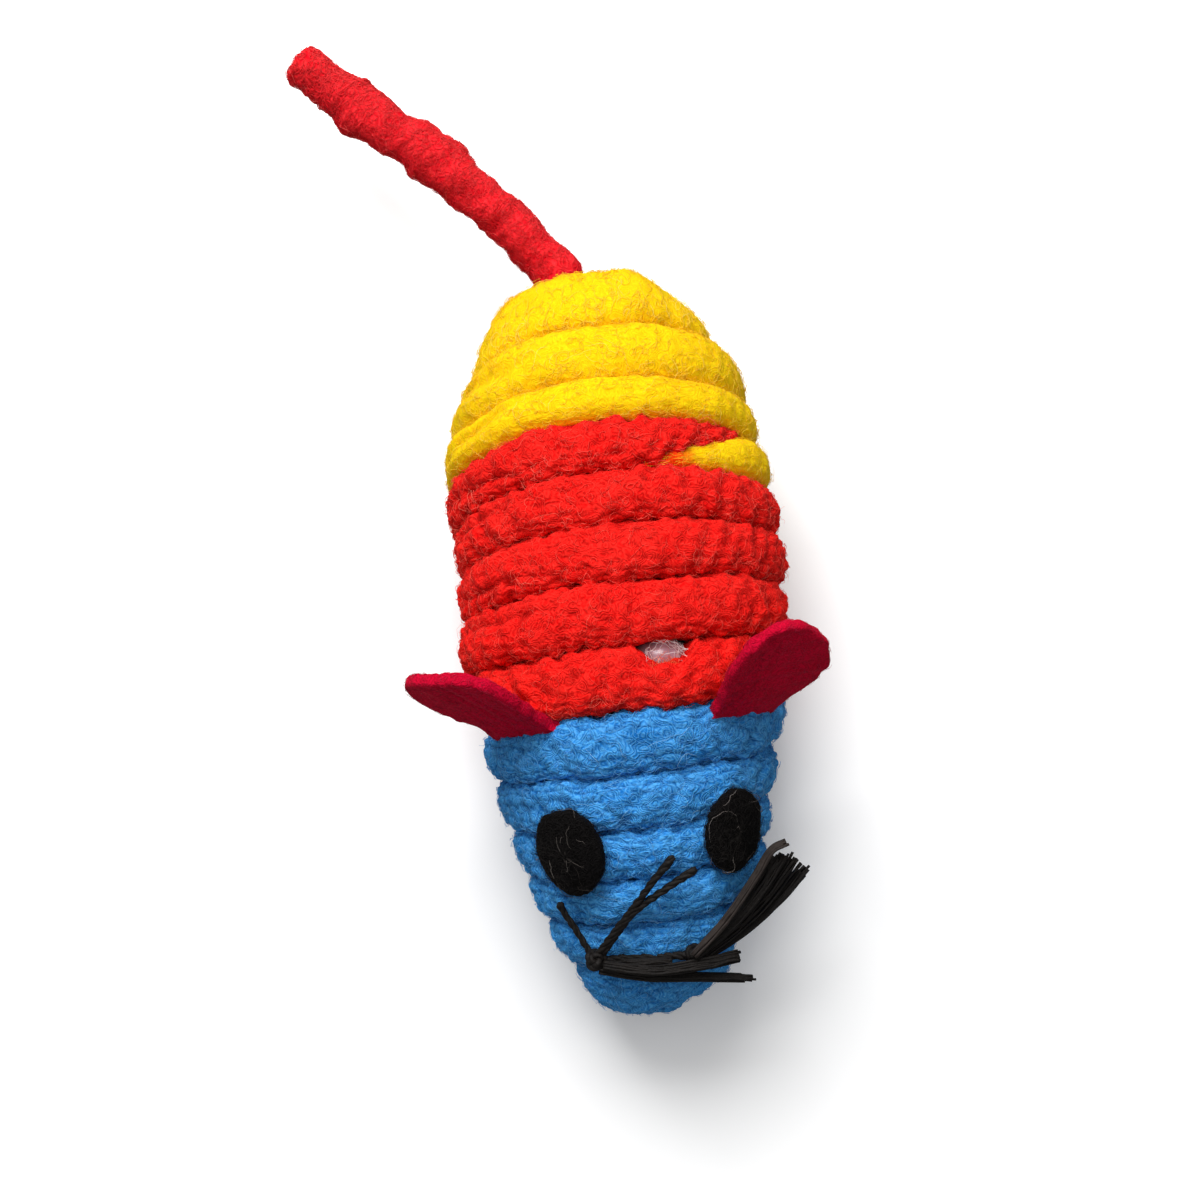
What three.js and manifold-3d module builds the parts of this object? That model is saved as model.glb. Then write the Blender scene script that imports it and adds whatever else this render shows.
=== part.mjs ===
// A mouse toy for a cat. Three knitted cords are wound round a hollow two-part core that holds rattle
// beads. Felt ears, felt eyes, a rolled felt tail and threads for whiskers are glued on.
// Millimetres. +Z is up, the nose points to -Y, the tail to +Y. The toy lies on its belly at z = 0.
import * as THREE from "three";
import { mergeVertices } from "three/addons/utils/BufferGeometryUtils.js";
import Module from "manifold-3d";

const wasm = await Module();
wasm.setup();

const clearance = 0.3;

// Body, measured outside the cords
const noseLength = 55.5;
const rumpLength = 43;
const bodyHalfWidth = 21.2;
const bodyHalfHeight = 19.4;
const noseFullnessShare = 1.86;
const rumpFullnessShare = 2.75;
const noseLiftHeight = 5;
const rumpLiftHeight = 5;
const liftPowerShare = 3;
const fanRadius = 85; // the turns fan out over the back
const uprightOffset = -3; // where a turn stands upright
const sideSwingWidth = 1.2; // the body is a little crooked
const sideSwingShares = [0.4, 0.9, 0.5, 0.5, -0.1, -1.2, -0.9, -0.4];

// Cords
const cordThickness = 6.4;
const cordGap = 0.52;
const stepsPerTurn = 24;
const noseTurnRadius = 6.95;
const rumpTurnRadius = 12.2;
const turnsInAll = 13.05;
const blueTurns = 5.64;
const redTurns = 4.5;
const pitchShares = [1.06, 0.82, 0.84, 0.94, 1.07, 1, 0.86, 0.84, 0.93, 1.5];
const restCutDepth = cordThickness / 10;
const tuckSteps = 12;
const noseTuckDepth = 7.2;
const noseTuckInsetLength = 6.8;
const noseTuckBowLength = 10;
const noseTuckHandleLength = 6.2;
const rumpTuckDepth = 8.5;
const rumpTuckInsetLength = 6.5;
const rumpTuckBowLength = 8;
const rumpTuckHandleLength = 8;
const rumpTuckOffset = 3.5;
const spliceTurns = 0.1;
const spliceTipShare = 0.22;

// Gap in the winding behind the front red turn, which shows the core
const windowAngle = 12;
const windowHalfAngle = 18;
const windowWidth = 3;

// Core
const coreWall = 1.6;
const coreSeatGap = 0.5;
const coreSplitLength = 60;
const coreInsetLength = 3;
const lapLength = 5;
const coreSides = 28;
const coreSteps = 9;
const plugThickness = 2.6;

// Rattle beads
const beadRadius = 2.6;
const beadLaneWidth = 5.8;
const beadTravelLength = 9;
const beadStartShares = [-1, 0.3, -0.6, 1];

// Tail of rolled felt
const tailRadius = 3.5;
const tailLength = 48;
const tailRootOffset = -5.4;
const tailPivotSetbackLength = -1.4;
const tailRootInsideLength = 9;
const tailSteps = 26;
const tailSides = 12;
const tailSeamShare = 0.12;
const tailStartShares = [0.85, 0.6, 0.3]; // the round start, set back from the pivot by shares of the radius
const tailTwist = 200;
const tailHeadings = [46, 40, 44, 49, 44, 48, 56, 46, 45, 50, 52];
const tailClimbs = [10, 8, 4, 2, 0, -4, -8, -8, -6, -4, -4];
const tailGirthShares = [1, 0.98, 0.97, 1.02, 1.12, 1.2, 1.08, 1, 1.02, 0.96, 0.9];

// Ears
const feltThickness = 1.6;
const earWidth = 15;
const earLength = 18;
const earCupDepth = 1.1;
const earRootShare = 0.62;
const earFullnessShare = 2.5;
const earLeftAngle = -46;
const earRightAngle = 42;
const earLeftLean = 17;
const earRightLean = 36;
const earRightTurn = 10; // swung sideways on its foot
const earSinkDepth = 0.1;
const earSides = 24;
const padRimShares = [0.4, 0.75, 1]; // rings of points from a pad's middle to its edge

// Eyes
const eyeDiameter = 10;
const eyeThickness = 1.3;
const eyeSides = 20;
const glueThickness = 0.5;
const eyeGlueDiameter = 6;
const eyeLeftAngle = -31;
const eyeRightAngle = 41;
const eyeLeftDistance = 28;
const eyeRightDistance = 29.2;

// Whisker threads
const threadRadius = 0.5;
const knotRadius = 1.45;
const knotLeft = { x: -5.9, behind: 7.3 }; // behind the nose's tip
const knotRight = { x: 6.7, behind: 7.3 };
const strandRadius = 0.38;
const strandSides = 4;
const strandSteps = 12;
const knotThreadRadius = 0.5;
const windowGlueDiameter = 4;
// Each point has x, the distance behind the nose's tip and the height over the crests, or over the floor
// where a fourth value says so
const strandRoutes = [
  [[-7.2, 9.1, 1.9], [-8.6, 11.3, 1.8], [-9.9, 14.1, 2.2]],
  [[-5.5, 9.5, 2.2], [-3.4, 11.6, 1.7], [0.8, 15.1, 1.6], [4.7, 18.9, 2.0]],
  [[-4.2, 8.9, 1.7], [-1.2, 11.3, 1.0], [3.6, 14.9, 1.4], [7.6, 17.5, 2.3]],
  [[-4.0, 5.9, 1.9], [0.4, 5.7, 1.2], [4.0, 5.5, 1.6]],
  [[-4.2, 5.0, 24.6, 1], [2.8, 3.6, 24.4, 1], [9.0, 4.9, 24.4, 1], [12.8, 6.5, 23, 1]],
  [[-5.6, 4.7, 23.2, 1], [2.8, 2.3, 23.2, 1], [10.0, 2.7, 22.2, 1], [14.6, 4.1, 20.2, 1]],
  [[8.6, 7.9, 1.6], [12.6, 11.9, 24.6, 1], [16.0, 15.9, 25.2, 1], [18.0, 19.6, 26.2, 1]],
  [[8.7, 6.9, 1.9], [13.2, 11.1, 23.2, 1], [17.2, 15.5, 23.8, 1], [20.2, 19.1, 25.0, 1]],
  [[8.8, 5.9, 2.4], [13.6, 9.9, 21.6, 1], [18.2, 14.3, 22.2, 1], [21.9, 17.6, 23.6, 1]],
  [[8.2, 9.0, 1.2], [11.9, 13.3, 26.2, 1], [14.6, 16.5, 26.9, 1], [17.0, 20.9, 28.2, 1]],
];

// Shape of the body

const crest = cordThickness / 2;
const centreHalfWidth = bodyHalfWidth - crest;
const heightRatio = (bodyHalfHeight - crest) / centreHalfWidth;

function centreLength(atNose) {
  return (atNose ? noseLength : rumpLength) - crest;
}

function centreRadius(station) {
  const atNose = station < 0;
  const fullness = atNose ? noseFullnessShare : rumpFullnessShare;
  const share = Math.min(Math.abs(station) / centreLength(atNose), 1);
  return centreHalfWidth * Math.pow(1 - Math.pow(share, fullness), 1 / fullness);
}

function sharesAt(shares, place) {
  const spot = THREE.MathUtils.clamp(place, 0, 1) * (shares.length - 1);
  const low = Math.min(Math.floor(spot), shares.length - 2);
  const mix = THREE.MathUtils.smoothstep(spot - low, 0, 1);
  return THREE.MathUtils.lerp(shares[low], shares[low + 1], mix);
}

function sideShift(station) {
  const place = (station + noseLength) / (noseLength + rumpLength);
  return sideSwingWidth * sharesAt(sideSwingShares, place);
}

// The profile from nose to tail as a table of station, radius and length along the profile
const profileCount = 400;
const profile = [];
for (let i = 0; i <= profileCount; i += 1) {
  const reach = Math.cos((Math.PI * i) / profileCount);
  const station = -reach * centreLength(reach > 0);
  const radius = centreRadius(station);
  const last = profile[i - 1];
  const along = last ? last.along + Math.hypot(station - last.station, radius - last.radius) : 0;
  profile.push({ station, radius, along });
}
const profileEnd = profile[profileCount].along;

function profileAt(along) {
  let low = 0;
  let high = profileCount;
  while (high - low > 1) {
    const middle = Math.floor((low + high) / 2);
    if (profile[middle].along > along) {
      high = middle;
    } else {
      low = middle;
    }
  }
  const a = profile[low];
  const b = profile[high];
  const mix = (along - a.along) / (b.along - a.along);
  return {
    station: THREE.MathUtils.lerp(a.station, b.station, mix),
    radius: THREE.MathUtils.lerp(a.radius, b.radius, mix),
  };
}

function alongAtRadius(radius, atNose) {
  const wide = profile.filter((p) => p.station < 0 === atNose && p.radius > radius);
  return (atNose ? wide[0] : wide[wide.length - 1]).along;
}

// A point on the surface that runs through the cords' centres, and its directions there
function surfacePoint(along, angle) {
  const { station, radius } = profileAt(along);
  const height = radius * heightRatio;
  const lean = (station - uprightOffset) / fanRadius;
  const atNose = station < 0;
  const reach = Math.abs(station) / (atNose ? noseLength : rumpLength);
  const rise = (atNose ? noseLiftHeight : rumpLiftHeight) * Math.pow(reach, liftPowerShare);
  const middle = height * Math.cos(lean) + crest - restCutDepth + rise;
  return new THREE.Vector3(
    sideShift(station) + radius * Math.sin(angle),
    station + height * Math.cos(angle) * Math.sin(lean),
    middle + height * Math.cos(angle) * Math.cos(lean),
  );
}

const tinyShare = 1e-3;

function surfaceFrame(along, angle) {
  const nudge = cordThickness * tinyShare;
  const point = surfacePoint(along, angle);
  const back = surfacePoint(Math.min(along + nudge, profileEnd), angle);
  back.sub(surfacePoint(Math.max(along - nudge, 0), angle)).normalize();
  const round = surfacePoint(along, angle + tinyShare);
  round.sub(surfacePoint(along, angle - tinyShare)).normalize();
  const out = new THREE.Vector3().crossVectors(round, back).normalize();
  return { point, back, round, out };
}

function bodyPoint(along, angle, out) {
  const frame = surfaceFrame(along, angle);
  return frame.point.addScaledVector(frame.out, out);
}

// Height of the cords' crests over a place seen from above
function crestHeight(x, y) {
  let best = { along: profileEnd / 2, angle: 0 };
  let alongSpan = profileEnd / 2;
  let angleSpan = Math.PI / 2;
  const tries = 12;
  for (let round = 0; round < 5; round += 1) {
    const from = best;
    let least = Infinity;
    for (let i = -tries; i <= tries; i += 1) {
      for (let k = -tries; k <= tries; k += 1) {
        const along = THREE.MathUtils.clamp(from.along + (alongSpan * i) / tries, 0, profileEnd);
        const angle = from.angle + (angleSpan * k) / tries;
        const spot = bodyPoint(along, angle, crest);
        const miss = Math.hypot(spot.x - x, spot.y - y);
        if (miss < least && Math.abs(angle) <= Math.PI / 2) {
          least = miss;
          best = { along, angle, z: spot.z };
        }
      }
    }
    alongSpan /= 4;
    angleSpan /= 4;
  }
  return best.z;
}

// Ways to make solids

const group = new THREE.Group();

function addPiece(name, geometry, colour, roughness) {
  const material = new THREE.MeshStandardMaterial({ color: colour, roughness, metalness: 0 });
  geometry.translate(-restSpot.x, -restSpot.y, 0);
  const mesh = new THREE.Mesh(geometry, material);
  mesh.name = name;
  group.add(mesh);
}

function meshOf(points, faces) {
  const geometry = new THREE.BufferGeometry().setFromPoints(points);
  geometry.setIndex(faces);
  return geometry;
}

function solidOf(geometry) {
  const bare = geometry.clone();
  bare.deleteAttribute("normal");
  bare.deleteAttribute("uv");
  const merged = mergeVertices(bare, (cordThickness * tinyShare) / 10);
  const vertProperties = merged.attributes.position.array;
  const triVerts = new Uint32Array(merged.index.array);
  return new wasm.Manifold(new wasm.Mesh({ numProp: 3, vertProperties, triVerts }));
}

function geometryOf(solid) {
  const made = solid.getMesh();
  const geometry = new THREE.BufferGeometry();
  geometry.setAttribute("position", new THREE.BufferAttribute(made.vertProperties, 3));
  geometry.setIndex(new THREE.BufferAttribute(made.triVerts, 1));
  return geometry;
}

// Rings of points joined into a tube with a face at each end, or into a closed loop
function tubeOf(rings, closed) {
  const sides = rings[0].length;
  const faces = [];
  const last = closed ? rings.length : rings.length - 1;
  for (let i = 0; i < last; i += 1) {
    const next = (i + 1) % rings.length;
    for (let k = 0; k < sides; k += 1) {
      const a = i * sides + k;
      const b = i * sides + ((k + 1) % sides);
      const c = next * sides + k;
      const d = next * sides + ((k + 1) % sides);
      faces.push(a, b, d, a, d, c);
    }
  }
  if (!closed) {
    const end = (rings.length - 1) * sides;
    for (let k = 1; k < sides - 1; k += 1) {
      faces.push(0, k + 1, k, end, end + k, end + k + 1);
    }
  }
  return meshOf(rings.flat(), faces);
}

// A flat pad of felt with an outline, placed by a function of its two directions and its thickness
function padOf(outline, sides, centreV, thickness, place) {
  const points = [place(0, centreV, thickness), place(0, centreV, 0)];
  const faces = [];
  padRimShares.forEach((share) => {
    for (let k = 0; k < sides; k += 1) {
      const [u, v] = outline((2 * Math.PI * k) / sides);
      points.push(place(u * share, centreV + (v - centreV) * share, thickness));
      points.push(place(u * share, centreV + (v - centreV) * share, 0));
    }
  });
  const at = (rim, k, low) => 2 + 2 * (rim * sides + (k % sides)) + low;
  for (let k = 0; k < sides; k += 1) {
    faces.push(0, at(0, k, 0), at(0, k + 1, 0), 1, at(0, k + 1, 1), at(0, k, 1));
    for (let rim = 1; rim < padRimShares.length; rim += 1) {
      faces.push(at(rim - 1, k, 0), at(rim, k, 0), at(rim, k + 1, 0));
      faces.push(at(rim - 1, k, 0), at(rim, k + 1, 0), at(rim - 1, k + 1, 0));
      faces.push(at(rim - 1, k, 1), at(rim, k + 1, 1), at(rim, k, 1));
      faces.push(at(rim - 1, k, 1), at(rim - 1, k + 1, 1), at(rim, k + 1, 1));
    }
    const edge = padRimShares.length - 1;
    faces.push(at(edge, k, 0), at(edge, k, 1), at(edge, k + 1, 1));
    faces.push(at(edge, k, 0), at(edge, k + 1, 1), at(edge, k + 1, 0));
  }
  return meshOf(points, faces);
}

// Winding

const windingStart = alongAtRadius(noseTurnRadius, true);
const windingEnd = alongAtRadius(rumpTurnRadius, false);
const turnMarks = [0];
for (let i = 0; i < profileCount; i += 1) {
  turnMarks.push(turnMarks[i] + sharesAt(pitchShares, (i + 1 / 2) / profileCount));
}

function alongOf(turn) {
  const place = (turn / turnsInAll) * profileCount;
  const low = THREE.MathUtils.clamp(Math.floor(place), 0, profileCount - 1);
  const mark = turnMarks[low] + (place - low) * (turnMarks[low + 1] - turnMarks[low]);
  return windingStart + (windingEnd - windingStart) * (mark / turnMarks[profileCount]);
}

const blueEnd = blueTurns;
const redEnd = blueTurns + redTurns;
const frontRed = Math.ceil(blueTurns);

// The part's origin: the middle of the turn that the toy rests on
const restSpot = surfacePoint(alongOf(frontRed + 1 + 1 / 2), Math.PI);

function turnFrame(turn) {
  return surfaceFrame(alongOf(turn), 2 * Math.PI * turn);
}

// Near the butt joint the cord runs straight for one thickness on each side, so it stands a little proud
function straightRise(turn) {
  const { radius } = profileAt(alongOf(blueEnd));
  const swing = Math.abs(2 * Math.PI * (turn - blueEnd));
  const straight = (cordThickness + clearance) / radius;
  const height = radius / Math.cos(Math.min(swing, straight)) - radius;
  return height * (1 - THREE.MathUtils.smoothstep(swing, straight, 3 * straight));
}

function halfPitch(turn, side, out) {
  const here = turnFrame(turn);
  const near = turnFrame(turn + side);
  const from = here.point.addScaledVector(here.out, out);
  const to = near.point.addScaledVector(near.out, out);
  return from.distanceTo(to) / 2;
}

function windowBite(turn) {
  const off = THREE.MathUtils.radToDeg(2 * Math.PI * (turn - frontRed)) - windowAngle;
  const share = THREE.MathUtils.clamp(off / windowHalfAngle, -1, 1);
  return windowWidth * Math.pow(Math.cos((share * Math.PI) / 2), 2);
}

// One ring of the cord: its widest points lie on the centre surface, with flats outside and inside.
// At the splice a ring has only a share of the width, on the side of the tail or of the nose.
function cordRing(turn, share, atTail) {
  const { point, round, out } = turnFrame(turn);
  const middle = point.addScaledVector(out, straightRise(turn));
  const noseHalf = halfPitch(turn, -1, 0) - cordGap / 2;
  const tailHalf = halfPitch(turn, 1, 0) - cordGap / 2 - windowBite(turn);
  const tight = Math.min(halfPitch(turn, -1, -crest), halfPitch(turn, 1, -crest)) - cordGap / 2;
  const spare = share < 1 ? (noseHalf + tailHalf) * (1 - share) + cordGap / 2 : 0;
  const low = -noseHalf + (atTail ? spare : 0);
  const high = tailHalf - (atTail ? 0 : spare);
  const centre = (low + high) / 2;
  const half = (high - low) / 2;
  const inner = Math.min(half / 2, Math.max(tight - Math.abs(centre), half / 8));
  const tall = crest * Math.sqrt(share);
  const across = new THREE.Vector3().crossVectors(out, round).normalize();
  const at = (u, v) => middle.clone().addScaledVector(across, u).addScaledVector(out, v);
  return [
    at(high, 0),
    at(centre + half / 2, tall),
    at(centre - half / 2, tall),
    at(low, 0),
    at(centre - inner, -tall),
    at(centre + inner, -tall),
  ];
}

function cordRings(from, to, finer, shareAt) {
  const stops = finer.filter((turn) => turn > from && turn < to);
  const least = 1 / (3 * stepsPerTurn);
  for (let k = Math.ceil(from * stepsPerTurn); k < to * stepsPerTurn; k += 1) {
    const turn = k / stepsPerTurn;
    const free = stops.every((stop) => Math.abs(stop - turn) > least);
    if (free && turn - from > least && to - turn > least) {
      stops.push(turn);
    }
  }
  stops.push(from, to);
  stops.sort((a, b) => a - b);
  return stops.map((turn) => cordRing(turn, ...shareAt(turn)));
}

// The first and the last end bend in behind the first and the last turn and run straight into the core
function tuckRings(ring, heading, target, side, depth, bow, handle) {
  const centre = new THREE.Vector3();
  ring.forEach((corner) => centre.addScaledVector(corner, 1 / ring.length));
  const bend = new THREE.CubicBezierCurve3(
    centre,
    centre.clone().addScaledVector(heading, handle),
    new THREE.Vector3(target.x, target.y + side * bow, target.z),
    target,
  );
  const route = bend.getSpacedPoints(tuckSteps);
  route.push(new THREE.Vector3(target.x, target.y - side * depth, target.z));
  let along = heading.clone();
  let corners = ring.map((corner) => corner.clone().sub(centre));
  return route.slice(1).map((spot, i) => {
    const before = spot.clone().sub(route[i]).normalize();
    const next = route[i + 2] ? route[i + 2].clone().sub(spot).normalize().add(before) : before;
    next.normalize();
    const swing = new THREE.Quaternion().setFromUnitVectors(along, next);
    corners = corners.map((corner) => corner.applyQuaternion(swing));
    along = next;
    const share = Math.min((2 * (i + 1)) / tuckSteps, 1);
    return corners.map((corner) => {
      const plain = corner.clone().setLength(crest);
      return corner.clone().lerp(plain, share).add(spot);
    });
  });
}

function turnMiddle(along) {
  const top = surfacePoint(along, 0);
  return top.add(surfacePoint(along, Math.PI)).multiplyScalar(0.5);
}

const noseMiddle = turnMiddle(windingStart);
const noseTarget = new THREE.Vector3(noseMiddle.x, -centreLength(true) + noseTuckInsetLength, noseMiddle.z);
const noseHeading = turnFrame(0).round.negate();
const noseTuck = tuckRings(
  cordRing(0, 1, false),
  noseHeading,
  noseTarget,
  -1,
  noseTuckDepth,
  noseTuckBowLength,
  noseTuckHandleLength,
);

const rumpMiddle = turnMiddle(windingEnd);
const rumpTarget = new THREE.Vector3(
  rumpMiddle.x + rumpTuckOffset,
  centreLength(false) - rumpTuckInsetLength,
  rumpMiddle.z,
);
const rumpHeading = turnFrame(turnsInAll).round;
const rumpTuck = tuckRings(
  cordRing(turnsInAll, 1, false),
  rumpHeading,
  rumpTarget,
  1,
  rumpTuckDepth,
  rumpTuckBowLength,
  rumpTuckHandleLength,
);

const jointHalf = clearance / 2 / (2 * Math.PI * profileAt(alongOf(blueEnd)).radius);
const spliceStart = redEnd - spliceTurns;
const spliceStops = [0, 1 / 3, 2 / 3, 1].map((share) => spliceStart + share * spliceTurns);
const windowStops = [-1, -0.5, 0, 0.5, 1].map(
  (share) => frontRed + (windowAngle + share * windowHalfAngle) / 360,
);
const jointStops = [-1, 1].map(
  (side) => blueEnd + (side * cordThickness) / (2 * Math.PI * profileAt(alongOf(blueEnd)).radius),
);

function spliceShare(turn) {
  const place = THREE.MathUtils.clamp((turn - spliceStart) / spliceTurns, 0, 1);
  return spliceTipShare + place * (1 - 2 * spliceTipShare);
}

function redShare(turn) {
  return turn < spliceStart - tinyShare ? [1, true] : [1 - spliceShare(turn), true];
}

function yellowShare(turn) {
  return turn > redEnd + tinyShare ? [1, false] : [spliceShare(turn), false];
}

const plainShare = () => [1, false];
const blueRings = [
  ...noseTuck.slice().reverse(),
  ...cordRings(0, blueEnd - jointHalf, jointStops, plainShare),
];
const redStops = [...jointStops, ...windowStops, ...spliceStops];
const redRings = cordRings(blueEnd + jointHalf, redEnd, redStops, redShare);
const yellowRings = [...cordRings(spliceStart, turnsInAll, spliceStops, yellowShare), ...rumpTuck];

// The least gap of the winding to itself, over corners and middles of edges one turn or more apart
function leastGap(rings) {
  const dots = [];
  rings.forEach((ring, i) => {
    ring.forEach((corner, k) => {
      const next = ring[(k + 1) % ring.length];
      dots.push({ i, spot: corner });
      dots.push({ i, spot: corner.clone().lerp(next, 0.5) });
    });
  });
  let least = Infinity;
  dots.forEach((a) => {
    dots.forEach((b) => {
      if (b.i - a.i > stepsPerTurn / 2) {
        least = Math.min(least, a.spot.distanceTo(b.spot));
      }
    });
  });
  return least;
}
console.log("mean pitch", ((windingEnd - windingStart) / turnsInAll).toFixed(3));
const winding = [...blueRings, ...redRings, ...yellowRings];
console.log("least gap of the winding to itself", leastGap(winding).toFixed(3));

// The belly is pressed flat where the toy lies
const floorSize = 4 * noseLength;
const floorGeometry = new THREE.BoxGeometry(floorSize, floorSize, floorSize);
floorGeometry.translate(0, 0, -floorSize / 2);
const floorSolid = solidOf(floorGeometry);

const threadY = (knotLeft.behind + knotRight.behind) / 2 - noseLength;
const knotCrest = Math.max(crestHeight(knotLeft.x, threadY), crestHeight(knotRight.x, threadY));
const threadLevel = knotCrest + knotRadius + clearance;
function threadRod(radius, from, to) {
  const rod = new THREE.CylinderGeometry(radius, radius, to - from, 2 * strandSides);
  rod.rotateZ(Math.PI / 2);
  rod.translate((from + to) / 2, threadY, threadLevel);
  return rod;
}
const threadFrom = knotLeft.x + knotRadius + clearance;
const threadTo = knotRight.x - knotRadius - clearance;
const threadHole = threadRod(threadRadius + clearance, 2 * knotLeft.x, 2 * knotRight.x);

const blueSolid = solidOf(tubeOf(blueRings, false)).subtract(floorSolid).subtract(solidOf(threadHole));
const redSolid = solidOf(tubeOf(redRings, false)).subtract(floorSolid);
const yellowSolid = solidOf(tubeOf(yellowRings, false)).subtract(floorSolid);
addPiece("blue_cord", geometryOf(blueSolid), 0x3187dc, 0.95);
addPiece("red_cord", geometryOf(redSolid), 0xf02d1e, 0.95);
addPiece("yellow_cord", geometryOf(yellowSolid), 0xffcd0a, 0.95);
addPiece("whisker_thread", threadRod(threadRadius, threadFrom, threadTo), 0x1a1612, 0.6);

// Core: a shell in two halves that lap, and a plug of glue round the tail in its mouth

const coreOut = -(crest + coreSeatGap);
const coreIn = coreOut - coreWall;
const lapOut = (coreOut + coreIn) / 2 + clearance / 2;
const lapIn = (coreOut + coreIn) / 2 - clearance / 2;

// A closed section in lengths along the body and heights off the centre surface, carried round the body
function bodyRing(section) {
  const rings = [];
  for (let k = 0; k < coreSides; k += 1) {
    const angle = (2 * Math.PI * k) / coreSides;
    rings.push(section.map(([along, out]) => bodyPoint(along, angle, out)).reverse());
  }
  return tubeOf(rings, true);
}

function runOf(from, to, out) {
  const run = [];
  for (let k = 0; k <= coreSteps; k += 1) {
    run.push([THREE.MathUtils.lerp(from, to, k / coreSteps), out]);
  }
  return run;
}

function rodAlongY(radius, x, z, from, to, sides) {
  const rod = new THREE.CylinderGeometry(radius, radius, to - from, sides);
  rod.translate(x, (from + to) / 2, z);
  return rod;
}
const noseRim = windingStart + coreInsetLength;
const rumpRim = windingEnd - coreInsetLength;
const frontEdge = coreSplitLength - clearance / 2;
const rearEdge = coreSplitLength + clearance / 2;
const lapEnd = coreSplitLength + lapLength;
const coreFront = bodyRing([
  ...runOf(noseRim, frontEdge, coreOut),
  [frontEdge, lapIn],
  [lapEnd, lapIn],
  [lapEnd, coreIn],
  ...runOf(frontEdge, noseRim, coreIn),
]);
const coreRear = bodyRing([
  [rearEdge, lapOut],
  ...runOf(rearEdge, rumpRim, coreOut),
  ...runOf(rumpRim, lapEnd + clearance, coreIn),
  [lapEnd + clearance, lapOut],
]);
const noseHole = rodAlongY(crest + clearance, noseTarget.x, noseTarget.z, -2 * noseLength, 0, tailSides);
addPiece("core_front", geometryOf(solidOf(coreFront).subtract(solidOf(noseHole))), 0xc9b9b8, 0.35);
addPiece("core_rear", coreRear, 0xc9b9b8, 0.35);

const tailRootZ = rumpMiddle.z;
const tailX = rumpMiddle.x + tailRootOffset;
const plugRings = [rumpRim - plugThickness, rumpRim].map((along) => {
  const ring = [];
  for (let k = 0; k < coreSides; k += 1) {
    const angle = (2 * Math.PI * k) / coreSides;
    ring.push(bodyPoint(along, angle, coreIn - clearance));
  }
  return ring;
});
const plugSolid = solidOf(tubeOf(plugRings, false))
  .subtract(solidOf(rodAlongY(tailRadius + clearance, tailX, tailRootZ, 0, 2 * rumpLength, tailSides)))
  .subtract(solidOf(rodAlongY(crest + clearance, rumpTarget.x, rumpTarget.z, 0, 2 * rumpLength, tailSides)));
addPiece("core_plug", geometryOf(plugSolid), 0xe8dcc8, 0.4);

// Rattle beads on the floor of the core, each in a lane of its own along the body
function beadRest(x, from, to) {
  let rest = 0;
  for (let along = noseRim; along <= rumpRim; along += beadRadius / 4) {
    for (let k = -coreSides; k <= coreSides; k += 1) {
      const low = bodyPoint(along, Math.PI + (2 * Math.PI * Math.floor(k / 4)) / coreSides, coreIn);
      const high = bodyPoint(along, Math.PI + (2 * Math.PI * (Math.floor(k / 4) + 1)) / coreSides, coreIn);
      const spot = low.lerp(high, k / 4 - Math.floor(k / 4));
      const off = Math.hypot(spot.x - x, spot.y - THREE.MathUtils.clamp(spot.y, from, to));
      if (off < beadRadius) {
        rest = Math.max(rest, spot.z + Math.sqrt(beadRadius * beadRadius - off * off));
      }
    }
  }
  return rest + (3 * clearance) / 2;
}
beadStartShares.forEach((share, i) => {
  const x = (i - (beadStartShares.length - 1) / 2) * beadLaneWidth;
  const bead = new THREE.SphereGeometry(beadRadius, 14, 10);
  bead.translate(x, share * beadTravelLength, beadRest(x, -beadTravelLength, beadTravelLength));
  addPiece("rattle_bead_" + (i + 1), bead, 0xd9d2c0, 0.3);
});

// Tail: a strip of felt rolled up, so its section is a spiral with a step that winds along the roll
function rollRing(spot, heading, radius, twist) {
  const side = new THREE.Vector3(0, 0, 1).cross(heading).normalize();
  const up = new THREE.Vector3().crossVectors(heading, side);
  const ring = [];
  for (let k = 0; k < tailSides; k += 1) {
    const turn = (2 * Math.PI * k) / (tailSides - 1);
    const reach = radius * (1 - (tailSeamShare * turn) / (2 * Math.PI));
    const at = turn + THREE.MathUtils.degToRad(twist);
    const corner = spot.clone().addScaledVector(side, reach * Math.cos(at));
    ring.push(corner.addScaledVector(up, reach * Math.sin(at)));
  }
  return ring;
}

function tailHeading(place) {
  const turn = THREE.MathUtils.degToRad(sharesAt(tailHeadings, place));
  const climb = THREE.MathUtils.degToRad(sharesAt(tailClimbs, place));
  return new THREE.Vector3(
    -Math.sin(turn) * Math.cos(climb),
    Math.cos(turn) * Math.cos(climb),
    Math.sin(climb),
  );
}

const tailPivot = new THREE.Vector3(tailX, rumpLength - tailPivotSetbackLength, tailRootZ);
const tailRings = [];
const startHeading = tailHeading(0);
tailStartShares.forEach((share) => {
  const spot = tailPivot.clone().addScaledVector(startHeading, -share * tailRadius);
  tailRings.push(rollRing(spot, startHeading, tailRadius * Math.sqrt(1 - share * share), 0));
});
const tailSpot = tailPivot.clone();
for (let i = 0; i <= tailSteps; i += 1) {
  const place = i / tailSteps;
  const heading = tailHeading(place);
  const girth = tailRadius * sharesAt(tailGirthShares, place);
  tailRings.push(rollRing(tailSpot.clone(), heading, girth, place * tailTwist));
  tailSpot.addScaledVector(heading, tailLength / tailSteps);
}
addPiece("tail", tubeOf(tailRings, false), 0xe01423, 0.95);
const tailPin = tailPivot.clone().sub(restSpot).setZ(tailPivot.z);
console.log("tail hinge at", tailPin.toArray().map((n) => n.toFixed(3)).join(" "));

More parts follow.
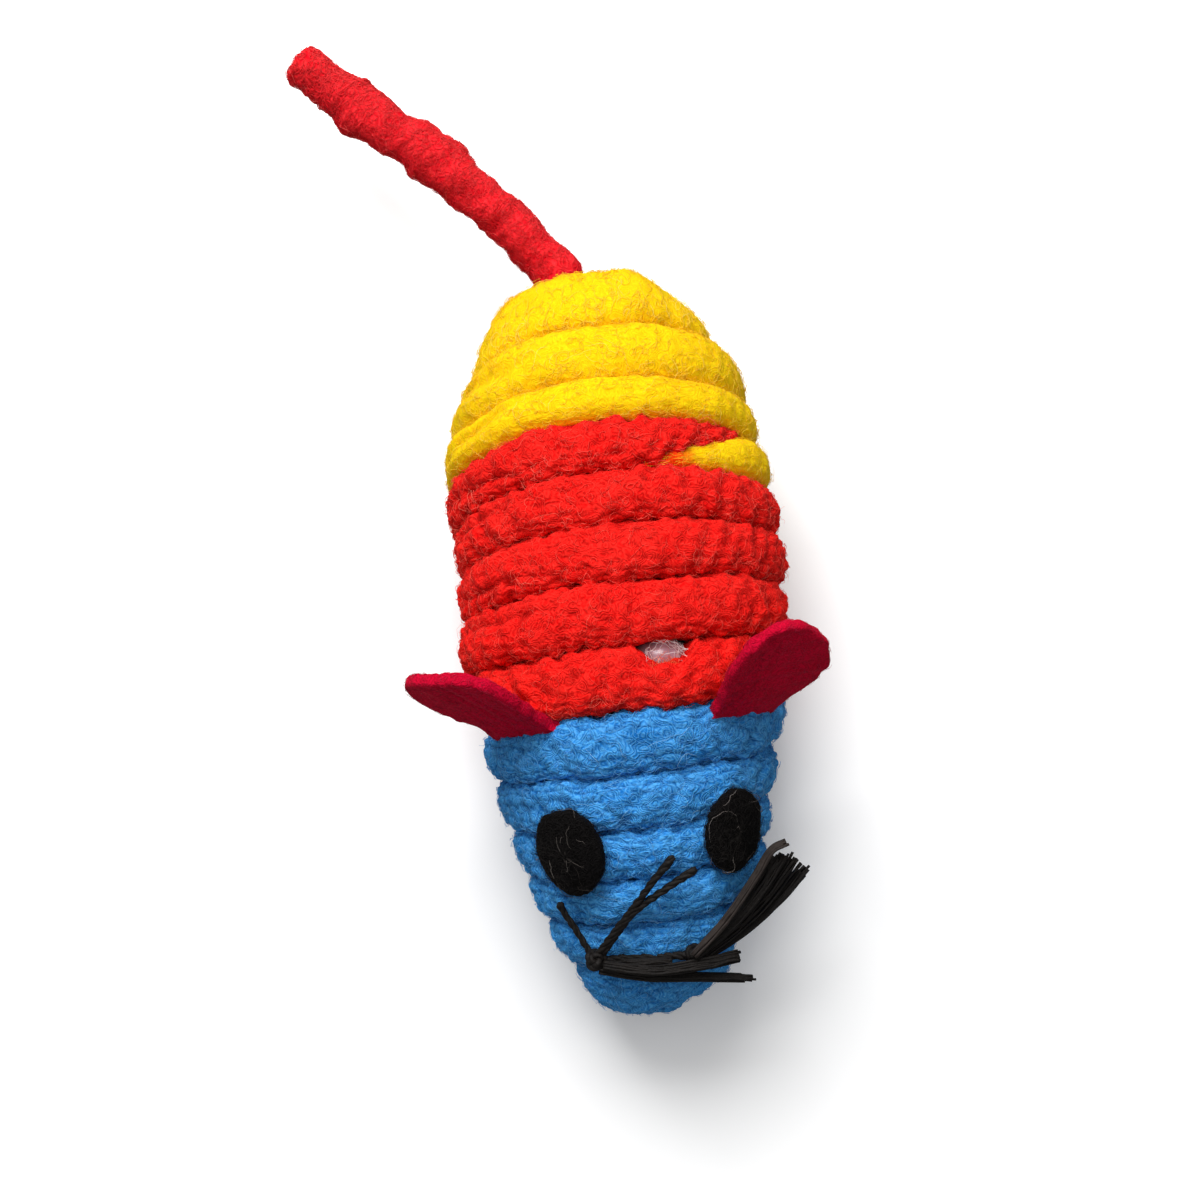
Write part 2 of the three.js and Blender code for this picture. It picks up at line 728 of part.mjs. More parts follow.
const tailRootEnd = tailPivot.y - tailRadius - clearance - rumpLength;
const tailRootRings = [-tailRootInsideLength, tailRootEnd].map((off) => {
  const spot = new THREE.Vector3(tailX, rumpLength + off, tailRootZ);
  return rollRing(spot, new THREE.Vector3(0, 1, 0), tailRadius, 0);
});
addPiece("tail_root", tubeOf(tailRootRings, false), 0xe01423, 0.95);

// Ears: cupped felt, glued into the groove between the blue and the red cord
function earOutline(angle) {
  const bend = (value) => Math.sign(value) * Math.pow(Math.abs(value), 2 / earFullnessShare);
  const v = (earLength / 2) * (1 - bend(Math.cos(angle)));
  const narrow = THREE.MathUtils.lerp(earRootShare, 1, THREE.MathUtils.smoothstep(v, 0, 0.6 * earLength));
  return [(earWidth / 2) * bend(Math.sin(angle)) * narrow, v];
}

function addEar(name, angle, lean, swing) {
  const groove = frontRed - 1 / 2 + angle / 360;
  const { point, back, round, out } = surfaceFrame(alongOf(groove), THREE.MathUtils.degToRad(angle));
  const foot = point.addScaledVector(out, crest + earSinkDepth);
  const tip = THREE.MathUtils.degToRad(lean);
  const up = out.clone().multiplyScalar(Math.cos(tip)).addScaledVector(back, Math.sin(tip)).normalize();
  const face = new THREE.Vector3().crossVectors(round, up).normalize();
  up.applyAxisAngle(face, THREE.MathUtils.degToRad(swing));
  const side = new THREE.Vector3().crossVectors(up, face);
  const place = (u, v, w) => {
    const cup = earCupDepth * Math.pow((2 * u) / earWidth, 2) * THREE.MathUtils.smoothstep(v, 0, earLength);
    return foot
      .clone()
      .addScaledVector(side, u)
      .addScaledVector(up, v - feltThickness / 2)
      .addScaledVector(face, w - feltThickness / 2 - cup);
  };
  addPiece(name, padOf(earOutline, earSides, earLength / 2, feltThickness, place), 0xb4002d, 0.95);
  const pin = foot.sub(restSpot).setZ(foot.z + restSpot.z);
  console.log(name, "hinge at", pin.toArray().map((n) => n.toFixed(3)).join(" "));
  console.log(name, "hinge axis", round.toArray().map((n) => n.toFixed(5)).join(" "));
}
addEar("ear_left", earLeftAngle, earLeftLean, 0);
addEar("ear_right", earRightAngle, earRightLean, earRightTurn);

// Eyes: discs of felt that follow the cords' crests, each on a dab of glue
function addDisc(name, diameter, sides, thickness, along, degrees, height, colour) {
  const angle = THREE.MathUtils.degToRad(degrees);
  const { radius } = profileAt(along);
  const place = (u, v, w) => bodyPoint(along + v, angle + u / (radius + crest), crest + height + w);
  const outline = (turn) => [(diameter / 2) * Math.sin(turn), (-diameter / 2) * Math.cos(turn)];
  addPiece(name, padOf(outline, sides, 0, thickness, place), colour, 0.95);
}
[
  ["left", eyeLeftAngle, eyeLeftDistance],
  ["right", eyeRightAngle, eyeRightDistance],
].forEach(([side, angle, along]) => {
  const glueSides = eyeSides / 2;
  const height = glueThickness + 2 * clearance;
  addDisc("eye_" + side, eyeDiameter, eyeSides, eyeThickness, along, angle, height, 0x14110f);
  addDisc("eye_glue_" + side, eyeGlueDiameter, glueSides, glueThickness, along, angle, clearance, 0xe8dcc8);
});
addDisc(
  "window_glue",
  windowGlueDiameter,
  eyeSides / 2,
  glueThickness,
  alongOf(frontRed + 1 / 2 + windowAngle / 360) - windowWidth / 2,
  windowAngle,
  coreOut - crest + clearance,
  0xe9dfe0,
);

// Whiskers: a thread through the snout with a knot and loose strands at each end
function addKnot(name, spot) {
  const loops = [0, 1, 2].map((k) => {
    const loop = new THREE.TorusGeometry(knotRadius - knotThreadRadius, knotThreadRadius, 5, 9);
    loop.rotateX((k * Math.PI) / 3);
    loop.rotateY((k * Math.PI) / 3);
    loop.translate(spot.x, spot.y, spot.z);
    return solidOf(loop);
  });
  addPiece(name, geometryOf(loops[0].add(loops[1]).add(loops[2])), 0x14110f, 0.6);
}
const knotSpots = [knotLeft, knotRight].map((knot) => new THREE.Vector3(knot.x, threadY, threadLevel));
addKnot("whisker_knot_left", knotSpots[0]);
addKnot("whisker_knot_right", knotSpots[1]);

function addStrand(name, radius, points) {
  const route = new THREE.CatmullRomCurve3(points.map(([x, behind, rise, free]) => {
    const y = behind - noseLength;
    return new THREE.Vector3(x, y, free ? rise : crestHeight(x, y) + rise);
  }));
  const section = new THREE.Shape();
  section.absarc(0, 0, radius, 0, 2 * Math.PI);
  const strand = new THREE.ExtrudeGeometry(section, {
    steps: strandSteps,
    curveSegments: strandSides,
    extrudePath: route,
    bevelEnabled: false,
  });
  addPiece(name, strand, 0x14110f, 0.6);
}
strandRoutes.forEach((points, i) => addStrand("whisker_strand_" + (i + 1), strandRadius, points));

export default group;
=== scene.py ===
import bpy
import math
import numpy as np
from mathutils import Matrix, Vector


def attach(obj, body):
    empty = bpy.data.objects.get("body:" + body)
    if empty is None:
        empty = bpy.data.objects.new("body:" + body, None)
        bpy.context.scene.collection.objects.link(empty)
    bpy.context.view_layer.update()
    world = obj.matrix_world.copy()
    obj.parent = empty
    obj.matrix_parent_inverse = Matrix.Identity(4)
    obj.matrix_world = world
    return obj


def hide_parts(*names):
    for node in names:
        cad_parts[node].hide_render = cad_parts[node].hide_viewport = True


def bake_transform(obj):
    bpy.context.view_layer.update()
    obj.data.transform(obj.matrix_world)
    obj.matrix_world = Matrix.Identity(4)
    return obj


# A cat's mouse toy: three knitted cords wound round a hollow core, felt ears and eyes, thread whiskers
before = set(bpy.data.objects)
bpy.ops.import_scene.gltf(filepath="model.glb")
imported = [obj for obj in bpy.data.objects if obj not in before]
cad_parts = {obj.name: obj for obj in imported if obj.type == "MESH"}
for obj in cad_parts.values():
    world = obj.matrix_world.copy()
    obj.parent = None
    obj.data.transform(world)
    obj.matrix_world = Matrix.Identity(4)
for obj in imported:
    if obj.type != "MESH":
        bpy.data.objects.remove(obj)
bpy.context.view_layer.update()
mm = 0.001
print("frame loaded:", len(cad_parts), "nodes")

# Camera

camera = {"distance": 400, "elevation": 80.5, "roll": -3, "lens": 91.6, "sensor": 36, "aim": (0, 0, 20),
          "shiftX": -0.02, "shiftY": 0.0038, "near": 0.01, "far": 20}


def makeCamera():
    tilt = math.radians(camera["elevation"])
    back = Vector((0, -math.cos(tilt), math.sin(tilt)))
    side = Vector((1, 0, 0))
    up = back.cross(side)
    roll = math.radians(camera["roll"])
    right = side * math.cos(roll) + up * math.sin(roll)
    top = back.cross(right)
    data = bpy.data.cameras.new("camera")
    data.lens = camera["lens"]
    data.sensor_width = camera["sensor"]
    data.shift_x = camera["shiftX"]
    data.shift_y = camera["shiftY"]
    data.clip_start = camera["near"]
    data.clip_end = camera["far"]
    obj = bpy.data.objects.new("camera", data)
    bpy.context.scene.collection.objects.link(obj)
    place = Matrix((right, top, back)).transposed().to_4x4()
    place.translation = (Vector(camera["aim"]) + back * camera["distance"]) * mm
    obj.matrix_world = place
    bpy.context.scene.camera = obj


makeCamera()
print("camera placed")

# Shape of the body, in millimetres, as the frame has it

body = {"noseLength": 55.5, "rumpLength": 43, "halfWidth": 21.2, "halfHeight": 19.4,
        "noseFullness": 1.86, "rumpFullness": 2.6, "noseLift": 5, "rumpLift": 5, "liftPower": 3,
        "fanRadius": 85, "upright": -3, "swing": 1.2,
        "swingShares": [0.4, 0.9, 0.5, 0.5, -0.1, -1.2, -0.9, -0.4],
        "cord": 6.4, "noseTurnRadius": 6.95, "rumpTurnRadius": 12.2, "turns": 13.05,
        "blueTurns": 5.64, "redTurns": 4.5, "noseSpread": 1.25,
        "pitchShares": [1.06, 0.82, 0.84, 0.94, 1.07, 1, 0.86, 0.84, 0.93, 1.5]}
# soft bulges: station, spread, width, on the left side
bulges = [(22, 11, 1.2, True), (-9, 7, 1.3, True), (11, 8, 0.9, False), (-25, 9, -1.0, False),
          (34.5, 4, -2.6, False)]
rumpAside = {"shift": 0.5, "start": 30, "length": 3.3}
# turns that lie further forwards than an even winding: turn, spread in turns, distance
pulledTurns = [(13.24, 0.3, 2.4), (12.05, 0.9, 2.1)]
profileSteps = 400
crest = body["cord"] / 2
centreWidth = body["halfWidth"] - crest
heightRatio = (body["halfHeight"] - crest) / centreWidth
restCut = body["cord"] / 10  # the floor flattens the lowest crests by this


def smoothStep(value):
    value = np.clip(value, 0, 1)
    return value * value * (3 - 2 * value)


def sharesAt(shares, place):
    shares = np.asarray(shares, float)
    spot = np.clip(place, 0, 1) * (len(shares) - 1)
    low = np.minimum(np.floor(spot).astype(int), len(shares) - 2)
    mix = smoothStep(spot - low)
    return shares[low] + (shares[low + 1] - shares[low]) * mix


def centreRadius(station):
    atNose = station < 0
    fullness = np.where(atNose, body["noseFullness"], body["rumpFullness"])
    reach = np.where(atNose, body["noseLength"], body["rumpLength"]) - crest
    share = np.minimum(np.abs(station) / reach, 1)
    return centreWidth * (1 - share ** fullness) ** (1 / fullness)


cosines = np.cos(np.pi * np.arange(profileSteps + 1) / profileSteps)
stations = -cosines * np.where(cosines > 0, body["noseLength"] - crest, body["rumpLength"] - crest)
radii = centreRadius(stations)
alongs = np.concatenate([[0], np.cumsum(np.hypot(np.diff(stations), np.diff(radii)))])


def surfacePoint(along, angle):
    along, angle = np.broadcast_arrays(np.asarray(along, float), np.asarray(angle, float))
    station = np.interp(along, alongs, stations)
    radius = np.interp(along, alongs, radii)
    over = np.maximum(along - alongs[-1], 0) - np.maximum(-along, 0)
    height = radius * heightRatio
    lean = (station - body["upright"]) / body["fanRadius"]
    atNose = station < 0
    reach = np.abs(station) / np.where(atNose, body["noseLength"], body["rumpLength"])
    rise = np.where(atNose, body["noseLift"], body["rumpLift"]) * reach ** body["liftPower"]
    middle = height * np.cos(lean) + crest - restCut + rise
    place = (station + body["noseLength"]) / (body["noseLength"] + body["rumpLength"])
    shift = body["swing"] * sharesAt(body["swingShares"], place)
    shift = shift - rumpAside["shift"] * smoothStep((station - rumpAside["start"]) / rumpAside["length"])
    leftward, rightward = np.maximum(-np.sin(angle), 0), np.maximum(np.sin(angle), 0)
    for spot, spread, width, toLeft in bulges:
        near = np.exp(-((station - spot) / spread) ** 2)
        shift = shift + near * width * (-leftward if toLeft else rightward) * radius / centreWidth
    return np.stack([shift + radius * np.sin(angle),
                     station + over + height * np.cos(angle) * np.sin(lean),
                     middle + height * np.cos(angle) * np.cos(lean)], -1)


def unit(vectors):
    return vectors / np.maximum(np.linalg.norm(vectors, axis=-1, keepdims=True), 1e-12)


def runAlong(path):
    return np.concatenate([[0], np.cumsum(np.linalg.norm(np.diff(path, axis=0), axis=1))])


def pointsAt(spots, knots, points):
    return np.stack([np.interp(spots, knots, points[:, n]) for n in range(3)], -1)


# A smooth curve from b to c, with a before it and d after it
def curvePoint(a, b, c, d, t):
    return 0.5 * (2 * b + (c - a) * t + (2 * a - 5 * b + 4 * c - d) * t * t
                  + (3 * b - a - 3 * c + d) * t ** 3)


def surfaceFrame(along, angle):
    point = surfacePoint(along, angle)
    back = unit(surfacePoint(along + 0.01, angle) - surfacePoint(along - 0.01, angle))
    around = unit(surfacePoint(along, angle + 0.001) - surfacePoint(along, angle - 0.001))
    return point, back, around, unit(np.cross(around, back))


def bodyPoint(along, angle, out):
    point, back, around, outward = surfaceFrame(along, angle)
    return point + outward * np.asarray(out)[..., None]


windingStart = alongs[np.nonzero((stations < 0) & (radii > body["noseTurnRadius"]))[0][0]]
windingEnd = alongs[np.nonzero((stations >= 0) & (radii > body["rumpTurnRadius"]))[0][-1]]
pitches = sharesAt(body["pitchShares"], (np.arange(profileSteps) + 0.5) / profileSteps)
marks = np.concatenate([[0], np.cumsum(pitches)])


# Distance along the body's profile at a turn of the winding
def alongOf(turn):
    turn = np.asarray(turn, float)
    place = turn / body["turns"] * profileSteps
    low = np.clip(np.floor(place).astype(int), 0, profileSteps - 1)
    mark = marks[low] + (place - low) * (marks[low + 1] - marks[low])
    mark = np.where(mark < 0, mark * body["noseSpread"], mark)
    pulled = 0
    for spot, spread, distance in pulledTurns:
        pulled = pulled + distance * np.cos(np.clip((turn - spot) / spread, -1, 1) * np.pi / 2) ** 2
    return windingStart + (windingEnd - windingStart) * mark / marks[-1] - pulled


blueEnd = body["blueTurns"]
redEnd = body["blueTurns"] + body["redTurns"]
frontRed = math.ceil(blueEnd)  # first whole turn of red
# the frame has its origin under this turn
restSpot = surfacePoint(alongOf(frontRed + 1.5), math.pi) * [1, 1, 0]


# Wavy noise that closes on itself round a tube: sines with whole counts round it
def waves(lengths, angles, longest, shortest, around, count, seed):
    made = np.random.default_rng(seed)
    total = np.zeros(np.broadcast(lengths, angles).shape)
    for _ in range(count):
        size = np.exp(made.uniform(np.log(shortest), np.log(longest)))
        turns = made.integers(-around, around + 1)
        total += np.sin(2 * np.pi * lengths / size + turns * angles + made.uniform(0, 6.28))
    return total / math.sqrt(count / 2)


# Meshes

def meshPiece(name, points, faces, paint):
    data = bpy.data.meshes.new(name)
    points = np.asarray(points, np.float32).reshape(-1, 3) * mm
    faces = np.asarray(faces, np.int32)
    corners = faces.shape[1]
    data.vertices.add(len(points))
    data.vertices.foreach_set("co", points.ravel())
    data.loops.add(faces.size)
    data.loops.foreach_set("vertex_index", faces.ravel())
    data.polygons.add(len(faces))
    data.polygons.foreach_set("loop_start", np.arange(0, faces.size, corners, dtype=np.int32))
    data.polygons.foreach_set("use_smooth", np.full(len(faces), True))
    data.update(calc_edges=True)
    data.validate()
    data.materials.append(paint)
    obj = bpy.data.objects.new(name, data)
    bpy.context.scene.collection.objects.link(obj)
    return obj


def addNumbers(obj, name, values):
    layer = obj.data.attributes.new(name, "FLOAT", "POINT")
    layer.data.foreach_set("value", np.asarray(values, np.float32).ravel())


def tubeFaces(rings, sides):
    i, k = np.meshgrid(np.arange(rings - 1), np.arange(sides), indexing="ij")
    a = i * sides + k
    b = i * sides + (k + 1) % sides
    return np.stack([a, a + sides, b + sides, b], -1).reshape(-1, 4)


def closedTube(grid):
    rings, sides = grid.shape[:2]
    points = np.concatenate([grid.reshape(-1, 3), grid[0].mean(0)[None], grid[-1].mean(0)[None]])
    quads = tubeFaces(rings, sides)
    k = np.arange(sides)
    n, last = rings * sides, (rings - 1) * sides
    capA = np.stack([np.full(sides, n), k, (k + 1) % sides], -1)
    capB = np.stack([np.full(sides, n + 1), last + (k + 1) % sides, last + k], -1)
    faces = np.concatenate([quads[:, [0, 1, 2]], quads[:, [0, 2, 3]], capA, capB])
    corners = points[faces]
    volume = (np.cross(corners[:, 0], corners[:, 1]) * corners[:, 2]).sum()
    return points, faces if volume > 0 else faces[:, ::-1], math.copysign(1, volume)


def tubePiece(name, grid, paint):
    points, faces, _ = closedTube(grid)
    return meshPiece(name, points, faces, paint)


def gridNormals(grid):
    along = np.gradient(grid, axis=0)
    around = np.roll(grid, -1, 1) - np.roll(grid, 1, 1)
    return unit(np.cross(around, along)) * -closedTube(grid)[2]


fibre = {"thinnest": 0.7, "thickest": 1.25, "taper": 0.55, "ply": 3}


# Thin hairs along many short paths, as one piece
def hairPiece(name, paths, outward, radius, paint, seed):
    made = np.random.default_rng(seed)
    count, points = paths.shape[:2]
    ply = fibre["ply"]
    share = np.linspace(0, 1, points)
    ahead = unit(np.gradient(paths, axis=1))
    across = unit(np.cross(ahead, outward))
    up = np.cross(across, ahead)
    width = made.uniform(fibre["thinnest"], fibre["thickest"], count)[:, None] * radius
    width = width * (1 - fibre["taper"] * np.abs(2 * share - 1) ** 3)
    rings = []
    for s in range(ply):
        turn = 2 * np.pi * s / ply
        rings.append(paths + (across * math.cos(turn) + up * math.sin(turn)) * width[..., None])
    cloud = np.stack(rings, 2).reshape(-1, 3)
    one = tubeFaces(points, ply)
    faces = (one[None] + (np.arange(count) * points * ply)[:, None, None]).reshape(-1, 4)
    obj = meshPiece(name, cloud, faces, paint)
    addNumbers(obj, "tone", np.repeat(made.uniform(0, 1, count), points * ply))
    return obj


def sampleGrid(values, i, k):
    rows, sides = values.shape[:2]
    i = np.clip(i, 0, rows - 1.001)
    i0, k0 = np.floor(i).astype(int), np.floor(k).astype(int)
    a, b = (i - i0)[..., None], (k - k0)[..., None]
    k1, k0 = (k0 + 1) % sides, k0 % sides
    return ((values[i0, k0] * (1 - b) + values[i0, k1] * b) * (1 - a)
            + (values[i0 + 1, k0] * (1 - b) + values[i0 + 1, k1] * b) * a)


# Curly fibres lying on a tube or pad, given its grid of points
def fuzzPiece(name, grid, looks, paint, seed):
    made = np.random.default_rng(seed)
    count, points = looks["count"], looks["points"]
    normals = gridNormals(grid)
    rows, around = grid.shape[:2]
    lengthStep = np.linalg.norm(np.diff(grid, axis=0), axis=-1).mean()
    spacing = np.linalg.norm(np.roll(grid, -1, 1) - grid, axis=-1).mean(0)
    i = made.uniform(*looks["rows"], count) * (rows - 1)
    k = made.uniform(*looks["sides"], count) * around
    heading = made.uniform(0, 2 * np.pi, count)
    bend = made.normal(0, looks["bend"], count)
    length = made.uniform(*looks["length"], count)
    step = length / (points - 1)
    share = np.linspace(0, 1, points)
    trailI, trailK = [i], [k]
    for n in range(1, points):
        heading = heading + bend / points + made.normal(0, looks["wobble"], count) / points
        i = i + np.cos(heading) * step / lengthStep
        k = k + np.sin(heading) * step / spacing[np.floor(k).astype(int) % around]
        trailI.append(i)
        trailK.append(k)
    i, k = np.stack(trailI, 1), np.stack(trailK, 1)
    base = sampleGrid(grid, i, k)
    outward = unit(sampleGrid(normals, i, k))
    lift = made.uniform(*looks["lift"], count)
    free = (made.uniform(0, 1, count) < looks["free"]) * made.uniform(0.3, 1, count) * looks["stand"]
    height = lift[:, None] * np.sin(np.pi * share) + looks["sink"] + free[:, None] * share ** 1.5
    paths = base + outward * height[..., None]
    paths[..., 2] = np.maximum(paths[..., 2], looks["radius"])
    return hairPiece(name, paths, outward, looks["radius"], paint, seed)


# Materials: shader maths as Python expressions

class Link:
    def __init__(self, paint, socket):
        self.paint = paint
        self.socket = socket

    def math(self, kind, first, second=0.0):
        return self.paint.node("ShaderNodeMath", {"operation": kind}, {0: first, 1: second})

    def __add__(self, other):
        return self.math("ADD", self, other)

    def __sub__(self, other):
        return self.math("SUBTRACT", self, other)

    def __rsub__(self, other):
        return self.math("SUBTRACT", other, self)

    def __mul__(self, other):
        return self.math("MULTIPLY", self, other)

    __radd__, __rmul__ = __add__, __mul__

    def wave(self):
        return self.math("SINE", self) * 0.5 + 0.5


class Paint:
    def __init__(self, name, fixed):
        self.material = bpy.data.materials.new(name)
        self.material.use_nodes = True
        self.tree = self.material.node_tree
        self.shader = self.tree.nodes["Principled BSDF"]
        for socket, value in fixed.items():
            self.shader.inputs[socket].default_value = value

    def node(self, kind, settings, sockets, out=0):
        made = self.tree.nodes.new(kind)
        for key, value in settings.items():
            setattr(made, key, value)
        for key, value in sockets.items():
            if isinstance(value, Link):
                self.tree.links.new(value.socket, made.inputs[key])
            else:
                made.inputs[key].default_value = value
        return Link(self, made.outputs[out])

    def place(self):
        return self.node("ShaderNodeTexCoord", {}, {}, "Object")

    def number(self, name):
        return self.node("ShaderNodeAttribute", {"attribute_name": name}, {}, "Fac")

    def noise(self, where, scale, detail=3.0):
        sockets = {"Vector": where, "Scale": scale, "Detail": detail, "Roughness": 0.55}
        return self.node("ShaderNodeTexNoise", {}, sockets, "Fac")

    def mix(self, share, low, high):
        return self.node("ShaderNodeMix", {"data_type": "RGBA"}, {0: share, 6: low, 7: high}, 2)

    def span(self, value, low, high):
        return self.node("ShaderNodeMapRange", {}, {"Value": value, "From Min": low, "From Max": high})

    def feed(self, socket, link):
        self.tree.links.new(link.socket, self.shader.inputs[socket])

    def bump(self, height, distance, strength=1.0):
        sockets = {"Height": height, "Distance": distance, "Strength": strength}
        self.feed("Normal", self.node("ShaderNodeBump", {}, sockets))


def rgb(red, green, blue):
    made = [(c / 255 / 12.92 if c / 255 <= 0.04045 else ((c / 255 + 0.055) / 1.055) ** 2.4)
            for c in (red, green, blue)]
    return (*made, 1)


# Wool: curly lines of fibre, lighter on their tops (partly the wool's own tone, partly painted highlight),
# with painted shade darker down between the stitches
def woolPaint(name, shadeColour, low, high, dyed=None, curl=420, lines=85, depth=0.00012, soft=0.25):
    paint = Paint(name, {"Roughness": 0.9, "Specular IOR Level": 0.08, "Subsurface Weight": soft,
                         "Subsurface Radius": (1, 0.6, 0.5), "Subsurface Scale": 0.0012})
    spot = paint.place()
    patch = paint.noise(spot, 300, 2)  # broad patches
    fine = paint.noise(spot, 2200, 2)  # single fibres
    curls = (paint.noise(spot, curl, 1.2) * lines).wave()
    cross = (paint.noise(spot, curl * 1.45, 1.0) * lines * 0.8).wave()  # a second layer, finer than the first
    fibres = curls * 0.55 + cross * 0.3 + fine * 0.3
    # raised fibres are lighter: partly the wool's own tone, partly painted highlight
    top = paint.span(fibres + patch * 0.7, 0.45, 1.25)
    tone = paint.mix(top, low, high)
    if dyed:
        dye = paint.span(paint.number("dye") + 0.5 * (patch - 0.5) + 0.2 * (fibres - 0.5), 0.3, 0.7)
        tone = paint.mix(dye, tone, paint.mix(top, dyed[0], dyed[1]))
    # painted shade: the shade colour darkens the wool where the piece's shade numbers are high, and a little
    # between the fibres
    shadeShare = paint.span(paint.number("paintedShade") + 0.2 * (0.5 - fibres), 0.2, 1.25)
    paint.feed("Base Color", paint.mix(shadeShare, tone, shadeColour))
    paint.bump(fibres, depth)
    return paint.material


def hairPaint(name, low, high):
    paint = Paint(name, {"Roughness": 0.7, "Specular IOR Level": 0.12})
    paint.feed("Base Color", paint.mix(paint.number("tone"), low, high))
    return paint.material


def plainPaint(name, fixed, scale, low, high):
    paint = Paint(name, fixed)
    paint.feed("Base Color", paint.mix(paint.noise(paint.place(), scale, 3), low, high))
    return paint


blueWool = woolPaint("blueWool", rgb(4, 58, 116), rgb(30, 121, 201), rgb(84, 169, 234), depth=0.00014)
redWool = woolPaint("redWool", rgb(142, 0, 0), rgb(222, 8, 8), rgb(250, 42, 34),
                    (rgb(250, 110, 5), rgb(255, 170, 10)), depth=0.00014, soft=0.2)
yellowWool = woolPaint("yellowWool", rgb(206, 142, 0), rgb(244, 192, 2), rgb(254, 212, 14),
                       (rgb(240, 50, 10), rgb(250, 84, 10)), depth=0.00008)
blueHair = hairPaint("blueHair", rgb(44, 134, 208), rgb(112, 182, 234))
redHair = hairPaint("redHair", rgb(238, 24, 20), rgb(255, 96, 82))
yellowHair = hairPaint("yellowHair", rgb(246, 194, 6), rgb(255, 220, 70))
paleBlue = hairPaint("paleBlue", rgb(110, 178, 226), rgb(160, 206, 240))
paleRed = hairPaint("paleRed", rgb(250, 84, 66), rgb(255, 134, 112))
paleYellow = hairPaint("paleYellow", rgb(252, 212, 60), rgb(255, 234, 130))
print("wool materials made")

# The three wound cords

knit = {"outer": 44, "inner": 12, "ringStep": 0.37, "wales": 8, "course": 2.3, "fullness": 2.45,
        "press": 0.16, "narrowest": 2.5, "widest": 6, "swell": 0.03, "slack": 0.035}
window = {"angle": 13.5, "halfAngle": 13, "nosePart": 2.9, "tailPart": 0.2, "roundness": 0.9}
splice = {"start": redEnd - 0.1, "end": redEnd + 0.045, "tip": 0.2,
          "redDye": 0.25, "redFade": 6, "yellowFade": 9}
buttGap = 0.004
noseEnd = {"turn": -0.68, "inset": 9, "bow": 2, "handle": 2, "depth": 3, "aside": 0, "up": 0}
rumpEnd = {"turn": 13.45, "inset": 5, "bow": 0, "handle": 5, "depth": 1.5, "aside": 4.5, "up": 5.5}
folds = {"angle": 302, "spread": 46, "depth": 0.95, "width": 0.24, "wander": 0.45,
         "shares": [0.2, 0.1, 0.5, 0.2, 0.7, 0.3, 0.9, 1, 0.7, 1, 0.9, 0.8, 0.9, 0.4]}


# Half the way to the next turn on one side
def halfPitch(turn, side):
    here = bodyPoint(alongOf(turn), 2 * np.pi * turn, 0)
    near = bodyPoint(alongOf(turn + side), 2 * np.pi * (turn + side), 0)
    return np.clip(np.linalg.norm(here - near, axis=-1) / 2, knit["narrowest"], knit["widest"])


def windowBite(turn, centre):
    off = np.degrees(2 * np.pi * (turn - centre)) - window["angle"]
    return np.cos(np.clip(off / window["halfAngle"], -1, 1) * np.pi / 2) ** window["roundness"]


# Height of the knit: rows of slanted loops in pairs along the cord
def stitches(length, angle, seed):
    shiftA = 0.16 * waves(length, angle, 30, 6, 2, 8, seed)
    shiftB = 0.26 * waves(length, angle, 20, 4, 3, 12, seed + 1)
    wale = knit["wales"] * angle / (2 * np.pi) + shiftA
    across = np.abs(wale - np.floor(wale) - 0.5) * 2
    course = length / knit["course"] + 0.8 * across + 0.5 * (np.floor(wale) % 2) + shiftB
    return np.sin(np.pi * np.clip(across, 0, 1)) ** 0.6 * np.abs(np.cos(np.pi * course)) ** 0.6


# Depth of the crease along a cord where the winding was pulled tight
def foldGroove(turns, angle):
    off = (turns * 360) % 360 - folds["angle"]
    near = np.cos(np.clip(off / folds["spread"], -1, 1) * np.pi / 2) ** 2
    strength = np.interp(turns, np.arange(len(folds["shares"])), folds["shares"])
    centre = np.pi / 2 + folds["wander"] * np.sin(turns * 9)
    return folds["depth"] * near * strength * np.exp(-((angle - centre) / folds["width"]) ** 2)


def tuckPath(centre, heading, target, side, sizes, steps):
    p = [centre, centre + heading * sizes["handle"], target + [0, side * sizes["bow"], 0], target]
    t = np.linspace(0, 1, steps)[:, None]
    curve = (1 - t) ** 3 * p[0] + 3 * (1 - t) ** 2 * t * p[1] + 3 * (1 - t) * t * t * p[2] + t ** 3 * p[3]
    return np.concatenate([curve, [target + [0, -side * sizes["depth"], 0]]])


# Rings carried along a path, turning as little as they can
def carryRings(path, across, outward, heading):
    sideways, out, ahead = across, outward, heading
    rows = []
    for i in range(1, len(path)):
        step = unit(path[i] - path[i - 1])
        after = path[min(i + 1, len(path) - 1)] - path[i]
        following = unit(step + (unit(after) if np.linalg.norm(after) > 0 else 0))
        turn = Vector(ahead).rotation_difference(Vector(following)).to_matrix()
        sideways, out = np.array(turn @ Vector(sideways)), np.array(turn @ Vector(out))
        ahead = following
        rows.append((path[i], sideways, out))
    return [np.array([row[n] for row in rows]) for n in range(3)]


# Middle, sideways and outward directions, half width and half height of each ring, and the cord's direction
def cordRings(turns, narrow, seed):
    point, back, around, outward = surfaceFrame(alongOf(turns), 2 * np.pi * turns)
    across = unit(np.cross(outward, around))
    noseHalf = halfPitch(turns, -1) + knit["press"] - window["tailPart"] * windowBite(turns, frontRed + 1)
    tailHalf = halfPitch(turns, 1) + knit["press"] - window["nosePart"] * windowBite(turns, frontRed)
    lowCut, highCut = narrow(turns)
    whole = noseHalf + tailHalf
    low, high = -noseHalf + lowCut * whole, tailHalf - highCut * whole
    tall = crest * np.sqrt(np.clip((high - low) / whole, 0.05, 1))
    tall = tall * (1 + knit["swell"] * waves(turns * 100, 0 * turns, 40, 9, 0, 7, seed + 5))
    centre = point + across * ((low + high) / 2)[:, None]
    return [centre, across, outward, (high - low) / 2, tall, turns], around


